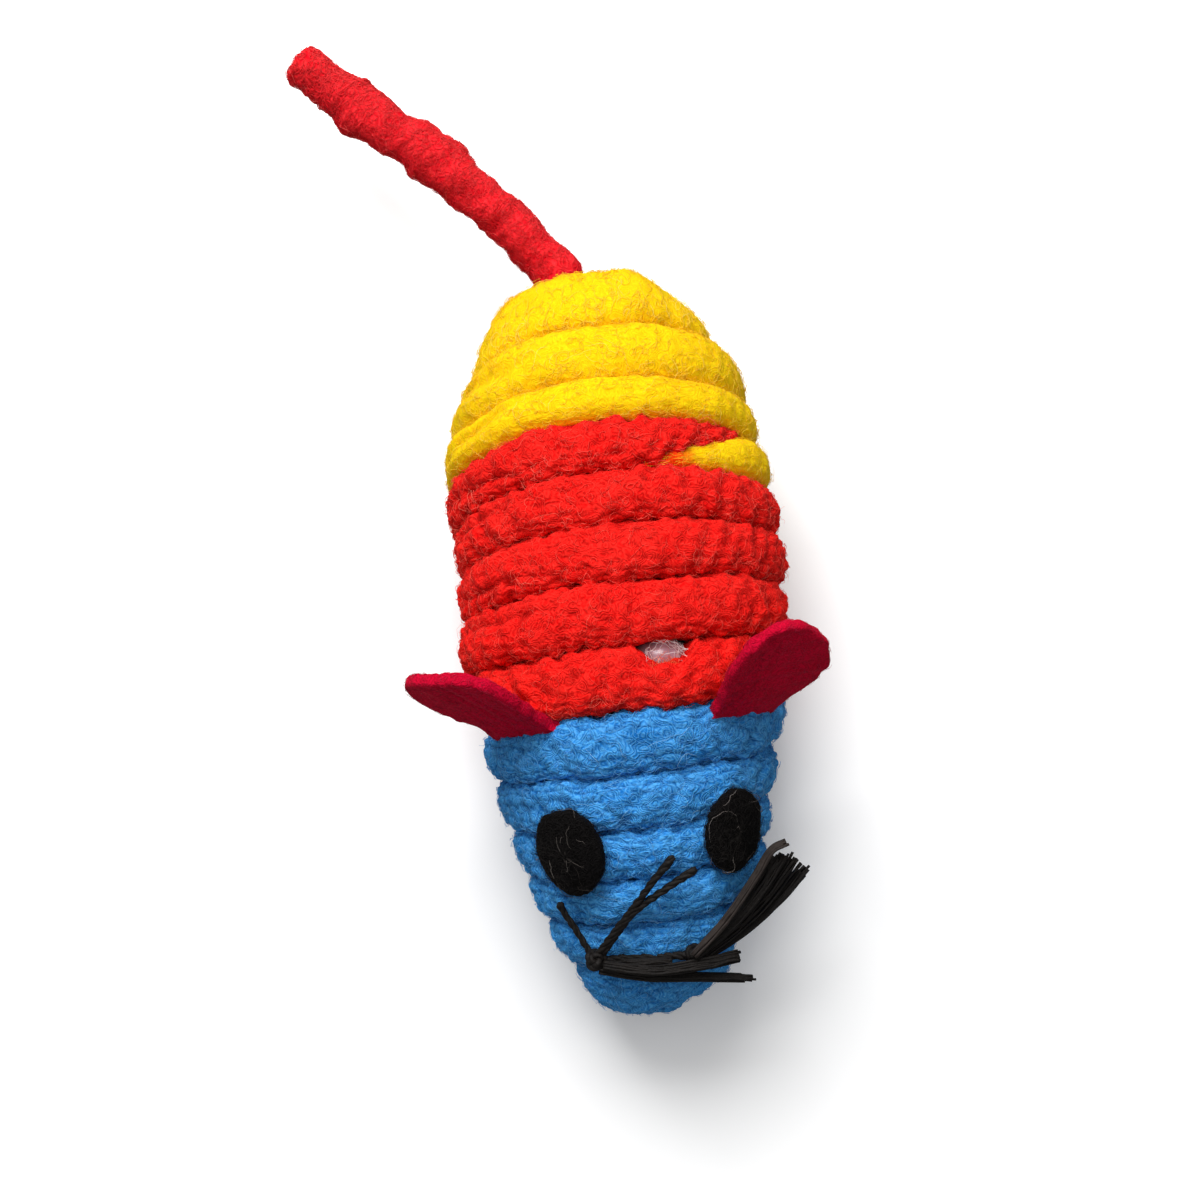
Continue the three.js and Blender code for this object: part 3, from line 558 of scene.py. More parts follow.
# The same rings with those of the cord's end, which bends into the body
def withEnd(rings, around, end):
    centre, across, outward, half, tall, turns = rings
    atNose = end is noseEnd
    spot, side = (0, -1) if atNose else (-1, 1)
    reach = body["noseLength" if atNose else "rumpLength"] - crest - end["inset"]
    tip = alongOf(turns[spot])
    middle = (surfacePoint(tip, 0.0) + surfacePoint(tip, math.pi)) / 2
    target = np.array([middle[0] + end["aside"], side * reach, middle[2] + end["up"]])
    heading = around[spot] * side
    path = tuckPath(centre[spot], heading, target, side, end, 24)
    spots, sideways, out = carryRings(path, across[spot], outward[spot], heading)
    extra = [spots, sideways, out] + [np.full(len(spots), values[spot]) for values in (half, tall, turns)]
    if atNose:
        return [np.concatenate([more[::-1], ring]) for ring, more in zip(rings, extra)]
    return [np.concatenate([ring, more]) for ring, more in zip(rings, extra)]


def woundCord(name, paint, first, last, narrow, relief, seed, end=None):
    course = alongOf(np.linspace(first, last, 200))
    travel = np.interp(course, alongs, radii).mean() * 2 * np.pi * (last - first)
    rings, around = cordRings(np.linspace(first, last, int(travel / knit["ringStep"])), narrow, seed)
    centre, across, outward, half, tall, turns = withEnd(rings, around, end) if end else rings
    length = runAlong(centre)
    angle = np.concatenate([np.pi * np.arange(knit["outer"]) / knit["outer"],
                            np.pi + np.pi * np.arange(knit["inner"]) / knit["inner"]])
    u, v = np.meshgrid(length, angle, indexing="ij")
    power = 2 / knit["fullness"]
    x = np.sign(np.cos(v)) * np.abs(np.cos(v)) ** power
    y = np.sign(np.sin(v)) * np.abs(np.sin(v)) ** power
    slack = 1 + knit["slack"] * waves(u, v, 26, 8, 2, 8, seed + 9)
    grid = (centre[:, None] + across[:, None] * (half[:, None] * x * slack)[..., None]
            + outward[:, None] * (tall[:, None] * y * slack)[..., None])
    radial = unit(across[:, None] * x[..., None] + outward[:, None] * y[..., None])
    loops = stitches(u, v, seed)
    lumps = waves(u, v, 5, 2, 6, 30, seed + 3)
    groove = foldGroove(turns[:, None] + 0 * v, v)
    rise = relief["stitch"] * (loops - 0.6) + relief["lump"] * lumps - groove
    grid = grid + radial * rise[..., None] - restSpot
    grid[..., 2] = np.maximum(grid[..., 2], 0)
    obj = tubePiece(name, grid, paint)
    # painted shade: darker down the cord's sides and underneath, where it lies against the next turns and the
    # core, between the stitches, in the dips between lumps and in the folds
    crease = np.clip(1 - np.sin(v), 0, 1) ** 2 * 0.5
    paintedShade = (np.clip(0.7 - loops, 0, 1) * relief["shade"] + crease
              + np.clip(-lumps, 0, 2) * 0.12 + groove * 0.35)
    addNumbers(obj, "paintedShade", np.concatenate([paintedShade.ravel(), [1, 1]]))
    return obj, grid, length


def noTaper(turns):
    return 0 * turns, 0 * turns


def spliceShare(turns):
    return np.clip((turns - splice["start"]) / (splice["end"] - splice["start"]), 0, 1)


def redTaper(turns):
    return spliceShare(turns) * (1 - splice["tip"]), 0 * turns


def yellowTaper(turns):
    return 0 * turns, (1 - spliceShare(turns)) * (1 - splice["tip"])


blueCord, blueGrid, blueLength = woundCord(
    "blueCord", blueWool, noseEnd["turn"], blueEnd - buttGap, noTaper,
    {"stitch": 0.32, "lump": 0.14, "shade": 1.1}, 11, noseEnd)
redCord, redGrid, redLength = woundCord(
    "redCord", redWool, blueEnd + buttGap, splice["end"], redTaper,
    {"stitch": 0.3, "lump": 0.2, "shade": 0.9}, 23)
yellowCord, yellowGrid, yellowLength = woundCord(
    "yellowCord", yellowWool, splice["start"], rumpEnd["turn"], yellowTaper,
    {"stitch": 0.1, "lump": 0.05, "shade": 0.3}, 37, rumpEnd)
print("cords wound:", round(blueLength[-1]), round(redLength[-1]), round(yellowLength[-1]), "mm")

sides = knit["outer"] + knit["inner"]
# the dye of each colour runs into the other at the splice
fade = splice["redFade"]
redDye = splice["redDye"] * smoothStep((redLength - redLength[-1] + fade) / fade)
yellowDye = smoothStep(1 - (yellowLength - 1) / splice["yellowFade"])
addNumbers(redCord, "dye", np.append(np.repeat(redDye, sides), [0, 0]))
addNumbers(yellowCord, "dye", np.append(np.repeat(yellowDye, sides), [1, 0]))

outerShare = knit["outer"] / sides
curly = {"count": 5400, "points": 7, "rows": (0.0, 1.0), "sides": (0.0, outerShare), "length": (0.9, 2.6),
         "bend": 5.0, "wobble": 2.0, "lift": (0.02, 0.28), "free": 0.2, "stand": 0.45, "radius": 0.035,
         "sink": 0.03}
stray = {**curly, "count": 300, "points": 10, "length": (1.6, 4.5), "bend": 2.2, "wobble": 5.0,
         "lift": (0.05, 0.5), "free": 0.35, "stand": 1.0, "radius": 0.022}
for cord, grid, name, hair, pale, slot in [
        (blueCord, blueGrid, "blue", blueHair, paleBlue, "cord_blue"),
        (redCord, redGrid, "red", redHair, paleRed, "cord_red"),
        (yellowCord, yellowGrid, "yellow", yellowHair, paleYellow, "cord_yellow")]:
    curls = fuzzPiece(name + "Curls", grid, curly, hair, len(name))
    strays = fuzzPiece(name + "Strays", grid, stray, pale, len(name) + 9)
    for piece in (cord, curls, strays):
        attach(piece, "mouse")
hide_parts("blue_cord")
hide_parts("red_cord")
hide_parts("yellow_cord")
print("cords and fuzz done")

# Tail, a stiff felted cord cut off blunt

tail = {"radius": 3.3, "length": 47.4, "rootX": -5.1, "setback": -1.4, "inside": 9, "steps": 26,
        "headings": [42.5, 39.5, 43, 48.5, 43, 48.5, 56.5, 48, 46, 51, 52],
        "climbs": [10, 8, 4, 2, 0, -4, -8, -8, -6, -4, -4],
        "girths": [0.98, 0.95, 0.89, 0.9, 0.97, 1.04, 0.98, 1.02, 1.03, 0.95, 0.86],
        "rings": 150, "tipGirths": [0.99, 0.96, 0.88, 0.7], "domeShares": [0.97, 0.85, 0.6, 0.3],
        "sides": 56, "swirl": 0.16,
        "rootRings": 28, "rootGirth": 1.04, "rootPast": 1.2,
        "rootTipGirths": [0.99, 0.96, 0.91, 0.82, 0.68, 0.45]}
tailRed = woolPaint("tailRed", rgb(200, 0, 18), rgb(226, 12, 30), rgb(246, 48, 54), lines=50, depth=0.00016)
tailHair = hairPaint("tailHair", rgb(226, 16, 32), rgb(255, 92, 90))


def tailHeading(place):
    turn = np.radians(sharesAt(tail["headings"], place))
    climb = np.radians(sharesAt(tail["climbs"], place))
    return np.stack([-np.sin(turn) * np.cos(climb), np.cos(turn) * np.cos(climb), np.sin(climb)], -1)


rumpMiddle = (surfacePoint(windingEnd, 0.0) + surfacePoint(windingEnd, math.pi)) / 2
tailPivot = np.array([rumpMiddle[0] + tail["rootX"], body["rumpLength"] - tail["setback"], rumpMiddle[2]])


def feltTube(name, path, radius, seed):
    angle = 2 * np.pi * np.arange(tail["sides"]) / tail["sides"]
    length = runAlong(path)
    ahead = unit(np.gradient(path, axis=0))
    side = unit(np.cross([0, 0, 1], ahead))
    up = np.cross(ahead, side)
    u, v = np.meshgrid(length, angle, indexing="ij")
    swirl = v + u * tail["swirl"]
    folds = 0.14 * waves(u, swirl, 14, 4, 3, 12, seed) + 0.06 * waves(u, v, 3.2, 1.4, 6, 40, seed + 2)
    size = radius[:, None] * (1 + 0.03 * waves(u, v, 22, 9, 1, 6, seed + 4)) + folds
    ring = side[:, None] * np.cos(v)[..., None] + up[:, None] * np.sin(v)[..., None]
    grid = path[:, None] + ring * size[..., None] - restSpot
    obj = tubePiece(name, grid, tailRed)
    # painted shade in the dips of the felt's folds
    shadeShare = np.clip(0.1 - folds * 2.2, 0, 1)
    addNumbers(obj, "paintedShade", np.append(shadeShare.ravel(), [0.5, 0.5]))
    return obj, grid


knots = np.arange(tail["steps"] + 1)
heads = tailHeading(knots / tail["steps"])
spine = tailPivot + np.concatenate([[[0, 0, 0]], np.cumsum(heads[:-1] * tail["length"] / tail["steps"], 0)])
girth = tail["radius"] * sharesAt(tail["girths"], knots / tail["steps"])
fine = np.linspace(0, tail["steps"], tail["rings"])
spineFine = pointsAt(fine, knots, spine)
girthFine = np.interp(fine, knots, girth)
girthFine[-len(tail["tipGirths"]):] *= tail["tipGirths"]
# the end inside the body is domed
dome = np.array(tail["domeShares"])
spineFine = np.concatenate([tailPivot - heads[0] * dome[:, None] * tail["radius"], spineFine])
girthFine = np.concatenate([tail["radius"] * np.sqrt(1 - dome ** 2), girthFine])
tailPiece, tailGrid = feltTube("tailFelt", spineFine, girthFine, 51)
tailLooks = {**curly, "count": 3400, "points": 10, "rows": (0.05, 1), "sides": (0, 1), "length": (1.4, 4.2),
             "bend": 7.0, "lift": (0.01, 0.16), "free": 0.1, "stand": 0.35, "radius": 0.04}
tailFuzz = fuzzPiece("tailFuzz", tailGrid, tailLooks, tailHair, 6)
for piece in (tailPiece, tailFuzz):
    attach(piece, "tail_body")
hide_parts("tail")

rootRings = tail["rootRings"]
rootY = np.linspace(body["rumpLength"] - tail["inside"], tailPivot[1] + tail["rootPast"], rootRings)
rootPath = np.stack([np.full(rootRings, tailPivot[0]), rootY, np.full(rootRings, tailPivot[2])], -1)
rootGirth = np.full(rootRings, tail["radius"] * tail["rootGirth"])
rootGirth[-len(tail["rootTipGirths"]):] *= tail["rootTipGirths"]
tailRoot, _ = feltTube("tailRoot", rootPath, rootGirth, 52)
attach(tailRoot, "mouse")
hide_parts("tail_root")
print("tail made")


# Felt pads as rings from the middle of one face over the rim to the middle of the other

def padGrid(outline, centre, thickness, place, seed, rings=18, sides=140):
    angle = 2 * np.pi * np.arange(sides) / sides
    edgeU, edgeV = outline(angle)
    face = np.linspace(0.02, 0.96, rings)
    shares = np.concatenate([face, [0.985, 1, 1, 0.985], np.linspace(0.96, 0.02, rings)])
    heights = np.concatenate([np.full(rings, 1.0), [0.9, 0.68, 0.32, 0.1], np.full(rings, 0.0)])
    share, a = np.meshgrid(shares, angle, indexing="ij")
    wear = 1 + 0.012 * waves(a * 6, a, 12, 2, 16, 24, seed + 2) * smoothStep((share - 0.8) / 0.2)
    u = edgeU[None] * share * wear
    v = centre + (edgeV[None] - centre) * share * wear
    rough = 0.05 * waves(u, v, 3, 1, 0, 20, seed) + 0.05 * waves(v, u, 6, 2, 0, 12, seed + 1)
    return place(u, v, thickness * heights[:, None] + rough * np.where(heights > 0.5, 1, -1)[:, None])


# Closed outline through given points: down the left side from the tip, then up the right side
def outlineThrough(left, right):
    loop = np.array(left + right[::-1], float)
    closed = np.concatenate([loop[-1:], loop, loop[:2]])
    out = []
    for n in range(len(loop)):
        for t in np.linspace(0, 1, 12, endpoint=False):
            out.append(curvePoint(*closed[n:n + 4], t))
    out = np.array(out + [out[0]])
    run = runAlong(out)

    def outline(angle):
        spot = angle / (2 * np.pi) * run[-1]
        return np.interp(spot, run, out[:, 0]), np.interp(spot, run, out[:, 1])
    return outline


ear = {"thickness": 1.6, "width": 15, "length": 18, "middle": 9, "sink": 0.1, "drop": 0.8, "bend": [-0.5, 3],
       "footEnd": 8, "lowest": -4, "highest": 22, "rows": 53,
       "left": {"angle": -46, "lean": (36, 31), "swing": 0, "shift": -0.4, "cup": 0.7,
                "outline": ([[1, 15.9], [-3.5, 16.1], [-8, 14.4], [-10.8, 10.8], [-10, 6.6],
                             [-7.6, 3.8], [-6.8, 2], [-7.4, -0.5], [-7, -1.8]],
                            [[3.6, 15.4], [5.6, 12], [5.6, 8], [4.9, 4], [4.4, 0], [4.2, -1.8]])},
       "right": {"angle": 42, "lean": (37, 44), "swing": 14, "shift": 0.6, "cup": -0.6,
                 "outline": ([[-1.2, 18.5], [-4.4, 16.4], [-5.8, 12], [-5.6, 8], [-4.8, 4], [-4.2, 0],
                              [-4, -1.7]],
                             [[2.7, 17.4], [6.2, 14.4], [8.9, 9.8], [9.4, 4.6], [7.8, 0.2], [6.4, -1.7]])}}
feltRed = woolPaint("feltRed", rgb(110, 0, 22), rgb(166, 0, 32), rgb(208, 6, 50),
                    curl=900, lines=40, depth=0.00008, soft=0)
feltHair = hairPaint("feltHair", rgb(150, 4, 40), rgb(206, 40, 76))


# Places a point of the flat ear, by its sideways, upward and forward distances from its foot
def earPlace(pose):
    groove = frontRed - 0.5 + pose["angle"] / 360
    along = alongOf(groove)
    point, back, around, outward = surfaceFrame(along, math.radians(pose["angle"]))
    foot = point + outward * (crest + ear["sink"]) - restSpot
    radius = np.interp(along, alongs, radii) + crest
    # the lean changes from the foot to the tip
    height = np.linspace(ear["lowest"], ear["highest"], ear["rows"])
    lean = np.radians(np.interp(height, [0, ear["length"]], pose["lean"]))
    step = np.diff(height)[:, None]
    leaning = outward * np.cos(lean)[:, None] + back * np.sin(lean)[:, None]
    rise = np.concatenate([[[0, 0, 0]], np.cumsum((leaning[1:] + leaning[:-1]) / 2 * step, 0)])
    rise = rise - pointsAt(0, height, rise)
    faces = unit(np.cross(around, leaning))
    middle = ear["rows"] // 2
    swing = np.array(Matrix.Rotation(math.radians(pose["swing"]), 3, Vector(faces[middle])))
    side = unit(np.cross(leaning[middle], faces[middle]))

    def place(u, v, w):
        spot = pose["angle"] / 360 + u / radius / (2 * np.pi)
        root = bodyPoint(alongOf(frontRed - 0.5 + spot), 2 * np.pi * spot, crest + ear["sink"]) - restSpot
        # the foot follows the groove, and the rest is straight
        share = smoothStep((v + 1) / (ear["footEnd"] + 1))[..., None]
        start = root * (1 - share) + (foot + (side * u[..., None]) @ swing.T) * share
        cup = pose["cup"] * (2 * u / ear["width"]) ** 2 * smoothStep(v / ear["length"])
        forward = w - ear["thickness"] / 2 - cup + pose["shift"]
        across = pointsAt(v, height, faces) * forward[..., None]
        return start + (pointsAt(v - ear["drop"], height, rise) + across) @ swing.T
    return place


def earPiece(name, node, pose, seed):
    place = earPlace(pose)
    grid = padGrid(outlineThrough(*pose["outline"]), ear["middle"], ear["thickness"], place, seed)
    obj = tubePiece(name, grid, feltRed)
    addNumbers(obj, "paintedShade", np.full(len(obj.data.vertices), 0.1))
    looks = {**curly, "count": 900, "rows": (0.1, 0.9), "sides": (0, 1), "length": (0.4, 1.4),
             "lift": (0.02, 0.1), "free": 0.3, "stand": 0.25, "radius": 0.022}
    hair = fuzzPiece(name + "Fuzz", grid, looks, feltHair, seed)
    # points on the felt's middle where it bends above its foot, which stays in the groove
    bend = place(np.zeros(2), np.array(ear["bend"]), ear["thickness"] / 2) * mm
    for piece in (obj, hair):
        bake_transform(piece)
    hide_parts(node)


earPiece("earLeft", "ear_left", ear["left"], 61)
earPiece("earRight", "ear_right", ear["right"], 67)
print("ears made")

# Felt eyes

# angle round the body, distance along it, half width and half height
eye = {"thickness": 1.3, "height": 1.1, "droop": 0.5,
       "left": (-30, 28, 4.5, 4.75), "right": (40.5, 29.1, 4.25, 4.75)}
feltBlack = woolPaint("feltBlack", rgb(2, 2, 2), rgb(5, 4, 4), rgb(17, 15, 15),
                      curl=700, lines=60, depth=0.0002, soft=0)
eyeHair = hairPaint("eyeHair", rgb(8, 7, 7), rgb(38, 35, 33))
paleHair = hairPaint("paleHair", rgb(60, 54, 50), rgb(158, 150, 144))


def eyePiece(name, node, spot, seed):
    degrees, along, halfU, halfV = spot
    angle = math.radians(degrees)
    radius = np.interp(along, alongs, radii)

    def place(u, v, w):
        edge = np.clip((u / halfU) ** 2 + (v / halfV) ** 2, 0, 1) ** 3
        out = crest + eye["height"] + w - eye["droop"] * edge
        return bodyPoint(along + v, angle + u / (radius + crest), out) - restSpot

    def outline(turn):
        return halfU * np.sin(turn), -halfV * np.cos(turn)
    grid = padGrid(outline, 0, eye["thickness"], place, seed, 14, 110)
    obj = tubePiece(name, grid, feltBlack)
    addNumbers(obj, "paintedShade", np.full(len(obj.data.vertices), 0.1))
    looks = {**curly, "count": 700, "rows": (0.02, 0.98), "sides": (0, 1), "length": (0.8, 3.0), "bend": 6,
             "lift": (0.03, 0.3), "free": 0.3, "stand": 0.5, "radius": 0.026}
    hair = fuzzPiece(name + "Fuzz", grid, looks, eyeHair, seed)
    loose = {**looks, "count": 18, "points": 12, "rows": (0.02, 0.6), "length": (1.2, 3.6),
             "bend": 1.5, "wobble": 4}
    strays = fuzzPiece(name + "Strays", grid, loose, paleHair, seed + 1)
    for piece in (obj, hair, strays):
        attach(piece, "mouse")
    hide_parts(node)


eyePiece("eyeLeft", "eye_left", eye["left"], 71)
eyePiece("eyeRight", "eye_right", eye["right"], 73)
print("eyes made")

# Whiskers: frayed black thread, knotted at each side of the snout

thread = {"knotRadius": 1.45, "knotLeft": (-6, 7.35), "knotRight": (6.7, 7.3), "tieLift": 0.3,
          "tieInset": 0.6, "twist": 1.5, "swell": 0.25, "thinnest": 0.12, "thickest": 0.2, "fray": 0.14,
          "shortest": 0.91}
# size and route of each strand: x, distance behind the nose's tip, and height over the cords' crests, or
# over the floor where a fourth value says so
strands = {
    1: ("twist", 0.42, [[-6.78, 8.39, 1.9], [-8.37, 11.35, 1.6], [-9.52, 13.15, 1.8], [-10.31, 14.68, 2.2]]),
    2: ("twist", 0.47, [[-5.77, 7.91, 2.4], [-3.57, 10.42, 1.6], [-0.86, 13.36, 1.6], [1.69, 16.31, 2.0],
                        [4.49, 19.28, 2.4]]),
    3: ("twist", 0.47, [[-5.42, 7.65, 2.0], [-3.3, 10.2, 1.5], [-0.6, 13.0, 1.5], [3.27, 15.4, 1.9],
                        [7.28, 17.74, 2.4]]),
    4: ("bunch", (0.5, 0.6), [[-5.09, 6.91, 1.9], [-0.83, 6.6, 1.6], [3.9, 6.6, 1.7]]),
    5: ("bunch", (0.55, 0.75), [[-5.08, 6.57, 24.6, 1], [1.05, 5.59, 24.6, 1], [7.4, 6.1, 24.4, 1],
                                [12.55, 7.0, 23.0, 1]]),
    6: ("bunch", (0.55, 0.5), [[-5.63, 6.15, 23.6, 1], [0.38, 4.92, 23.4, 1], [7.33, 4.55, 22.6, 1],
                              [14.35, 4.1, 20.4, 1]]),
    7: ("bunch", (0.5, 0.95), [[6.69, 7.01, 24.6, 1], [11.76, 11.12, 24.6, 1], [15.3, 15.16, 25.2, 1],
                              [18.48, 19.82, 26.2, 1]]),
    8: ("bunch", (0.6, 1.05), [[6.94, 6.78, 23.8, 1], [12.4, 10.65, 23.4, 1], [16.58, 14.68, 23.8, 1],
                              [20.39, 19.18, 25.0, 1]]),
    9: ("bunch", (0.5, 0.85), [[7.2, 6.56, 23.0, 1], [12.77, 9.95, 22.0, 1], [17.47, 13.83, 22.4, 1],
                              [21.65, 18.07, 23.6, 1]]),
    10: ("bunch", (0.5, 0.5), [[6.44, 7.11, 25.4, 1], [10.9, 11.5, 26.2, 1], [14.8, 16.6, 27.0, 1],
                               [17.0, 19.7, 27.8, 1], [19.1, 20.7, 28.2, 1]])}
threadLook = {"Roughness": 0.65, "Specular IOR Level": 0.2}
threadPaint = plainPaint("blackThread", threadLook, 900, rgb(5, 4, 4), rgb(30, 25, 22))
threadPaint.bump(threadPaint.noise(threadPaint.place(), 2600, 2), 0.0002, 0.7)
greyPaint = plainPaint("greyThread", threadLook, 900, rgb(18, 15, 14), rgb(62, 53, 49))

quarter = math.pi / 2
crestAlong, crestAngle = np.meshgrid(np.linspace(0, alongs[-1], 500), np.linspace(-quarter, quarter, 241))
crestCloud = bodyPoint(crestAlong.ravel(), crestAngle.ravel(), np.full(crestAlong.size, crest))


def crestHeight(x, y):
    return crestCloud[np.argmin((crestCloud[:, 0] - x) ** 2 + (crestCloud[:, 1] - y) ** 2), 2]


def routePoints(points, count):
    spots = []
    for x, behind, rise, *free in points:
        y = behind - body["noseLength"]
        spots.append([x, y, rise if free else crestHeight(x, y) + rise])
    spots = np.array(spots)
    grown = np.concatenate([[2 * spots[0] - spots[1]], spots, [2 * spots[-1] - spots[-2]]])
    out = []
    for place in np.linspace(0, len(spots) - 1, count):
        low = min(int(place), len(spots) - 2)
        out.append(curvePoint(*grown[low:low + 4], place - low))
    return np.array(out) - restSpot


# Tubes round several centre lines, as one piece
def manyTubes(name, centres, widths, paint, ply=7):
    angle = 2 * np.pi * np.arange(ply) / ply
    clouds, faces, first = [], [], 0
    for centre, width in zip(centres, widths):
        ahead = unit(np.gradient(centre, axis=0))
        side = unit(np.cross([0, 0.1, 1], ahead))
        up = np.cross(ahead, side)
        ring = side[:, None] * np.cos(angle)[:, None] + up[:, None] * np.sin(angle)[:, None]
        points, tris, _ = closedTube(centre[:, None] + ring * width[:, None, None])
        clouds.append(points)
        faces.append(tris + first)
        first += len(points)
    return meshPiece(name, np.concatenate(clouds), np.concatenate(faces), paint.material)


def pathFrame(path):
    ahead = unit(np.gradient(path, axis=0))
    side = unit(np.cross([0, 0, 1], ahead))
    return side, np.cross(ahead, side), runAlong(path)


# Thread of a few twisted plies, swelling to a blunt end
def twistedThread(name, path, radius, paint, seed, plies=3):
    side, up, length = pathFrame(path)
    share = length / length[-1]
    swell = 1 + thread["swell"] * smoothStep((share - 0.8) / 0.15) - 0.5 * smoothStep((share - 0.96) / 0.04)
    centres, widths = [], []
    for ply in range(plies):
        turn = 2 * np.pi * ply / plies + length * thread["twist"]
        off = side * np.cos(turn)[:, None] + up * np.sin(turn)[:, None]
        centres.append(path + off * (radius * 0.46 * swell)[:, None])
        widths.append(radius * 0.62 * swell * (1 + 0.1 * waves(length, 0 * length, 3, 0.8, 0, 8, seed + ply)))
    return manyTubes(name, centres, widths, paint)


# Loose bunch of fine threads between two radii, fraying towards its end
def threadBunch(name, path, radii, paint, seed, count=26, flat=0.55):
    made = np.random.default_rng(seed)
    side, up, length = pathFrame(path)
    share = length / length[-1]
    spread = radii[0] + (radii[1] - radii[0]) * smoothStep(share / 0.85)
    centres, widths = [], []
    for n in range(count):
        turn, reach = made.uniform(0, 2 * np.pi), math.sqrt(made.uniform(0, 1))
        turn = turn + share * made.normal(0, 0.5) + 0.1 * waves(length, 0 * length, 9, 3, 0, 4, seed * 40 + n)
        stop = int(len(path) * made.uniform(thread["shortest"], 1)) if n else len(path)
        loose = 1 + thread["fray"] * smoothStep((share - 0.75) / 0.25) * made.normal()
        off = side * np.cos(turn)[:, None] + up * (flat * np.sin(turn))[:, None]
        centres.append((path + off * (spread * reach * loose)[:, None])[:stop])
        widths.append((made.uniform(thread["thinnest"], thread["thickest"]) * (1 + 0.15 * share))[:stop])
    return manyTubes(name, centres, widths, paint, 5)


whiskers = []
for number, (kind, size, points) in strands.items():
    make = twistedThread if kind == "twist" else threadBunch
    paint = greyPaint if number == 10 else threadPaint
    piece = make("whisker" + str(number), routePoints(points, 44), size, paint, 80 + number)
    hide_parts("whisker_strand_" + str(number))
    whiskers.append(piece)

leftX, rightX = thread["knotLeft"][0], thread["knotRight"][0]
threadY = thread["knotLeft"][1] - body["noseLength"]
threadZ = max(crestHeight(leftX, threadY), crestHeight(rightX, threadY))
threadZ = threadZ + thread["knotRadius"] + thread["tieLift"]


def knotPiece(name, node, x, seed):
    turn = np.linspace(0, 2 * np.pi, 120)
    reach = 0.62 + 0.3 * np.cos(3 * turn)
    loops = np.stack([np.cos(2 * turn) * reach, np.sin(2 * turn) * reach, 0.62 * np.sin(3 * turn)], -1)
    piece = twistedThread(name, loops + [x, threadY, threadZ] - restSpot, 0.62, threadPaint, seed)
    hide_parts(node)
    whiskers.append(piece)


knotPiece("knotLeft", "whisker_knot_left", leftX, 91)
knotPiece("knotRight", "whisker_knot_right", rightX, 92)
tieX = np.linspace(leftX + thread["tieInset"], rightX - thread["tieInset"], 30)
tiePath = np.stack([tieX, np.full(30, threadY), np.full(30, threadZ)], -1) - restSpot
tiePiece = twistedThread("whiskerTie", tiePath, 0.5, threadPaint, 93)
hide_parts("whisker_thread")
whiskers.append(tiePiece)
for piece in whiskers:
    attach(piece, "mouse")
print("whiskers made")

# Gap between two red turns, where the glued core and loose fibres show

gap = {"forward": 1.7, "lumpSpot": (0, -0.3, -1.9), "lumpSize": (3.6, 2.9, 3.1), "rim": (3.1, 1.7), "web": 24,
       "tuft": 60, "hairRadius": 0.03}
gapAngle = math.radians(window["angle"])
gapAlong = alongOf(frontRed + 0.5 + window["angle"] / 360) - gap["forward"]


def gapPoint(u, v, out):
    radius = np.interp(gapAlong, alongs, radii) + crest
    return bodyPoint(gapAlong + v, gapAngle + u / radius, out) - restSpot


lump = gapPoint(*gap["lumpSpot"])
bpy.ops.object.select_all(action="DESELECT")
bpy.ops.mesh.primitive_uv_sphere_add(segments=48, ring_count=32, radius=mm)
glueLump = bpy.context.object
glueLump.name = "glueLump"
bpy.ops.object.mode_set(mode="EDIT")
bpy.ops.mesh.select_all(action="SELECT")
bpy.ops.transform.resize(value=gap["lumpSize"])
bpy.ops.transform.translate(value=[float(c) * mm for c in lump])
bpy.ops.object.mode_set(mode="OBJECT")
bpy.ops.object.shade_smooth()
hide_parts("window_glue")
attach(glueLump, "mouse")


# Loose fibres between two sets of places on the gap's rim, sagging into it
def gapHairs(name, starts, ends, sag, rise, paint, seed):
    made = np.random.default_rng(seed)
    t = np.linspace(0, 1, 8)[None, :, None]
    u = starts[:, None, :] * (1 - t) + ends[:, None, :] * t
    u = u + (made.normal(0, 0.35, (len(starts), 1, 2)) * np.sin(np.pi * t)
             + made.normal(0, 0.12, (len(starts), 8, 2)))
    out = rise - sag * np.sin(np.pi * t[..., 0]) * made.uniform(0.4, 1.3, len(starts))[:, None]
    path = gapPoint(u[..., 0], u[..., 1], out)
    outward = np.broadcast_to(surfaceFrame(gapAlong, gapAngle)[3], path.shape)
    return hairPiece(name, path, outward, gap["hairRadius"], paint, seed)


def rimPoints(turn):
    return np.stack([gap["rim"][0] * np.cos(turn), gap["rim"][1] * np.sin(turn)], -1)


made = np.random.default_rng(5)
startTurn = made.uniform(0, 2 * np.pi, gap["web"])
endTurn = startTurn + made.uniform(0.8, 2.6, gap["web"])
webHair = hairPaint("webHair", rgb(225, 200, 200), rgb(255, 250, 248))
web = gapHairs("gapWeb", rimPoints(startTurn), rimPoints(endTurn), 0.9, 2.0, webHair, 95)
lowTurn = made.uniform(-2.5, -0.8, gap["tuft"])
tuftEnd = np.stack([made.normal(0, 0.8, gap["tuft"]), made.normal(-0.7, 0.5, gap["tuft"])], -1)
tuftHair = hairPaint("tuftHair", rgb(240, 60, 30), rgb(255, 140, 90))
tuft = gapHairs("gapTuft", rimPoints(lowTurn), tuftEnd, 0.5, 2.2, tuftHair, 96)
for piece in (web, tuft):
    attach(piece, "mouse")
print("gap made")

# What stays from the frame: core, glue and beads

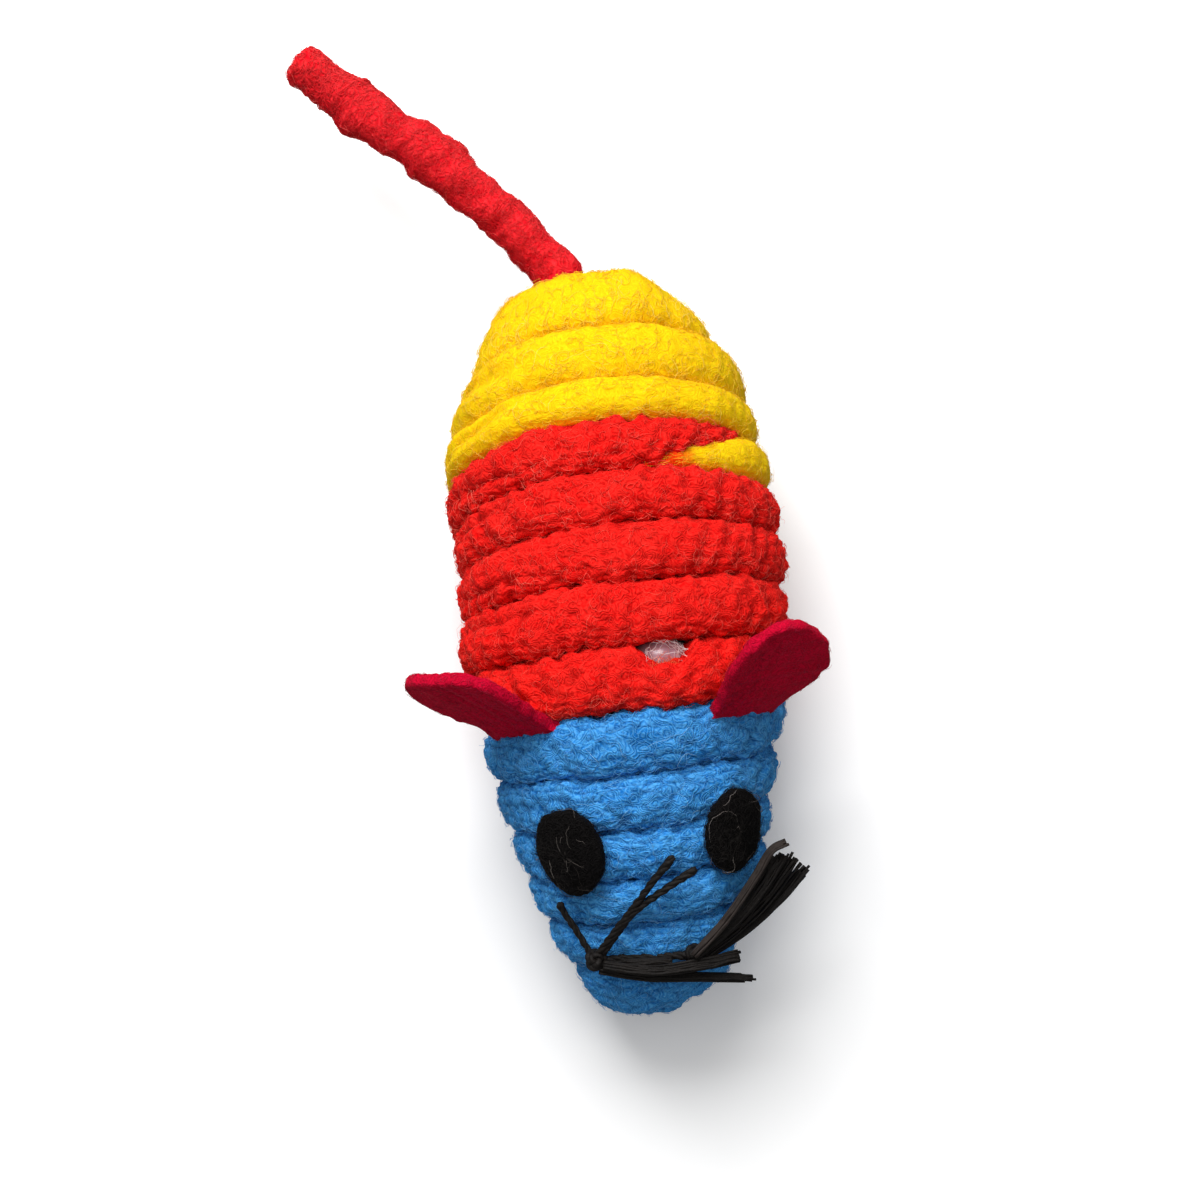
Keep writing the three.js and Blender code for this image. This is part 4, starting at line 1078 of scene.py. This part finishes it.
corePaint = plainPaint("coreShell", {"Roughness": 0.35}, 180, rgb(150, 120, 122), rgb(190, 165, 168))
gluePaint = plainPaint("setGlue", {"Roughness": 0.22, "Subsurface Weight": 0.4, "Subsurface Scale": 0.002},
                       420, rgb(124, 78, 88), rgb(206, 158, 166))
beadPaint = plainPaint("bead", {"Roughness": 0.25}, 300, rgb(200, 190, 170), rgb(225, 217, 200))
glueLump.data.materials.append(gluePaint.material)
painted = {"core_front": corePaint, "core_rear": corePaint, "core_plug": gluePaint,
           "eye_glue_left": gluePaint, "eye_glue_right": gluePaint}
for number in range(1, 5):
    painted["rattle_bead_" + str(number)] = beadPaint
for node, paint in painted.items():
    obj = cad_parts[node]
    obj.data.materials.clear()
    obj.data.materials.append(paint.material)
print("frame nodes painted")

# Floor and light

stage = {"floor": 4.0, "seenColour": rgb(240, 240, 240), "bounceColour": rgb(150, 150, 150),
         "glow": 0.16, "glowBehind": 0.5, "behind": (0.01, 0.05), "far": (0.2, 0.5), "world": 0.27,
         "lamps": [("keyLamp", (-0.2, 0.76, 0.98), 0.75, 18.0), ("fillLamp", (-0.1, 0.1, 1.2), 0.9, 2.6)]}
bpy.ops.mesh.primitive_plane_add(size=stage["floor"], location=(0, 0, 0))
floor = bpy.context.object
floor.name = "floor"
floorPaint = Paint("floor", {"Roughness": 0.9, "Specular IOR Level": 0.1, "Emission Strength": 1.0})
seen = floorPaint.node("ShaderNodeLightPath", {}, {}, "Is Camera Ray")
floorPaint.feed("Base Color", floorPaint.mix(seen, stage["bounceColour"], stage["seenColour"]))
# to the lens the floor brightens far away, and behind the toy it gets painted light that washes out the
# tail's shadow
spot = floorPaint.place()
behind = floorPaint.span(floorPaint.node("ShaderNodeSeparateXYZ", {}, {0: spot}, 1), *stage["behind"])
distance = floorPaint.node("ShaderNodeVectorMath", {"operation": "LENGTH"}, {0: spot}, 1)
far = floorPaint.span(distance, *stage["far"])
glow = (behind * (stage["glowBehind"] - stage["glow"]) + stage["glow"] + far) * seen
floorPaint.feed("Emission Color", floorPaint.mix(glow, (0, 0, 0, 1), (1, 1, 1, 1)))
floor.data.materials.append(floorPaint.material)

world = bpy.data.worlds.new("studio")
world.use_nodes = True
# The lens sees white; everything else is lit by a dimmer grey
tree = world.node_tree
grey = stage["world"]
whiteOrGrey = tree.nodes.new("ShaderNodeMix")
whiteOrGrey.data_type = "RGBA"
whiteOrGrey.inputs[6].default_value = (grey, grey, grey, 1)
whiteOrGrey.inputs[7].default_value = (1, 1, 1, 1)
tree.links.new(tree.nodes.new("ShaderNodeLightPath").outputs["Is Camera Ray"], whiteOrGrey.inputs[0])
tree.links.new(whiteOrGrey.outputs[2], tree.nodes["Background"].inputs[0])
bpy.context.scene.world = world


def lamp(name, spot, size, power):
    data = bpy.data.lights.new(name, "AREA")
    data.size = size
    data.energy = power
    obj = bpy.data.objects.new(name, data)
    obj.location = spot
    obj.rotation_euler = (Vector((0, 0, 0)) - Vector(spot)).to_track_quat("-Z", "Y").to_euler()
    bpy.context.scene.collection.objects.link(obj)


for values in stage["lamps"]:
    lamp(*values)
bpy.context.scene.view_settings.view_transform = "Standard"
print("stage set")
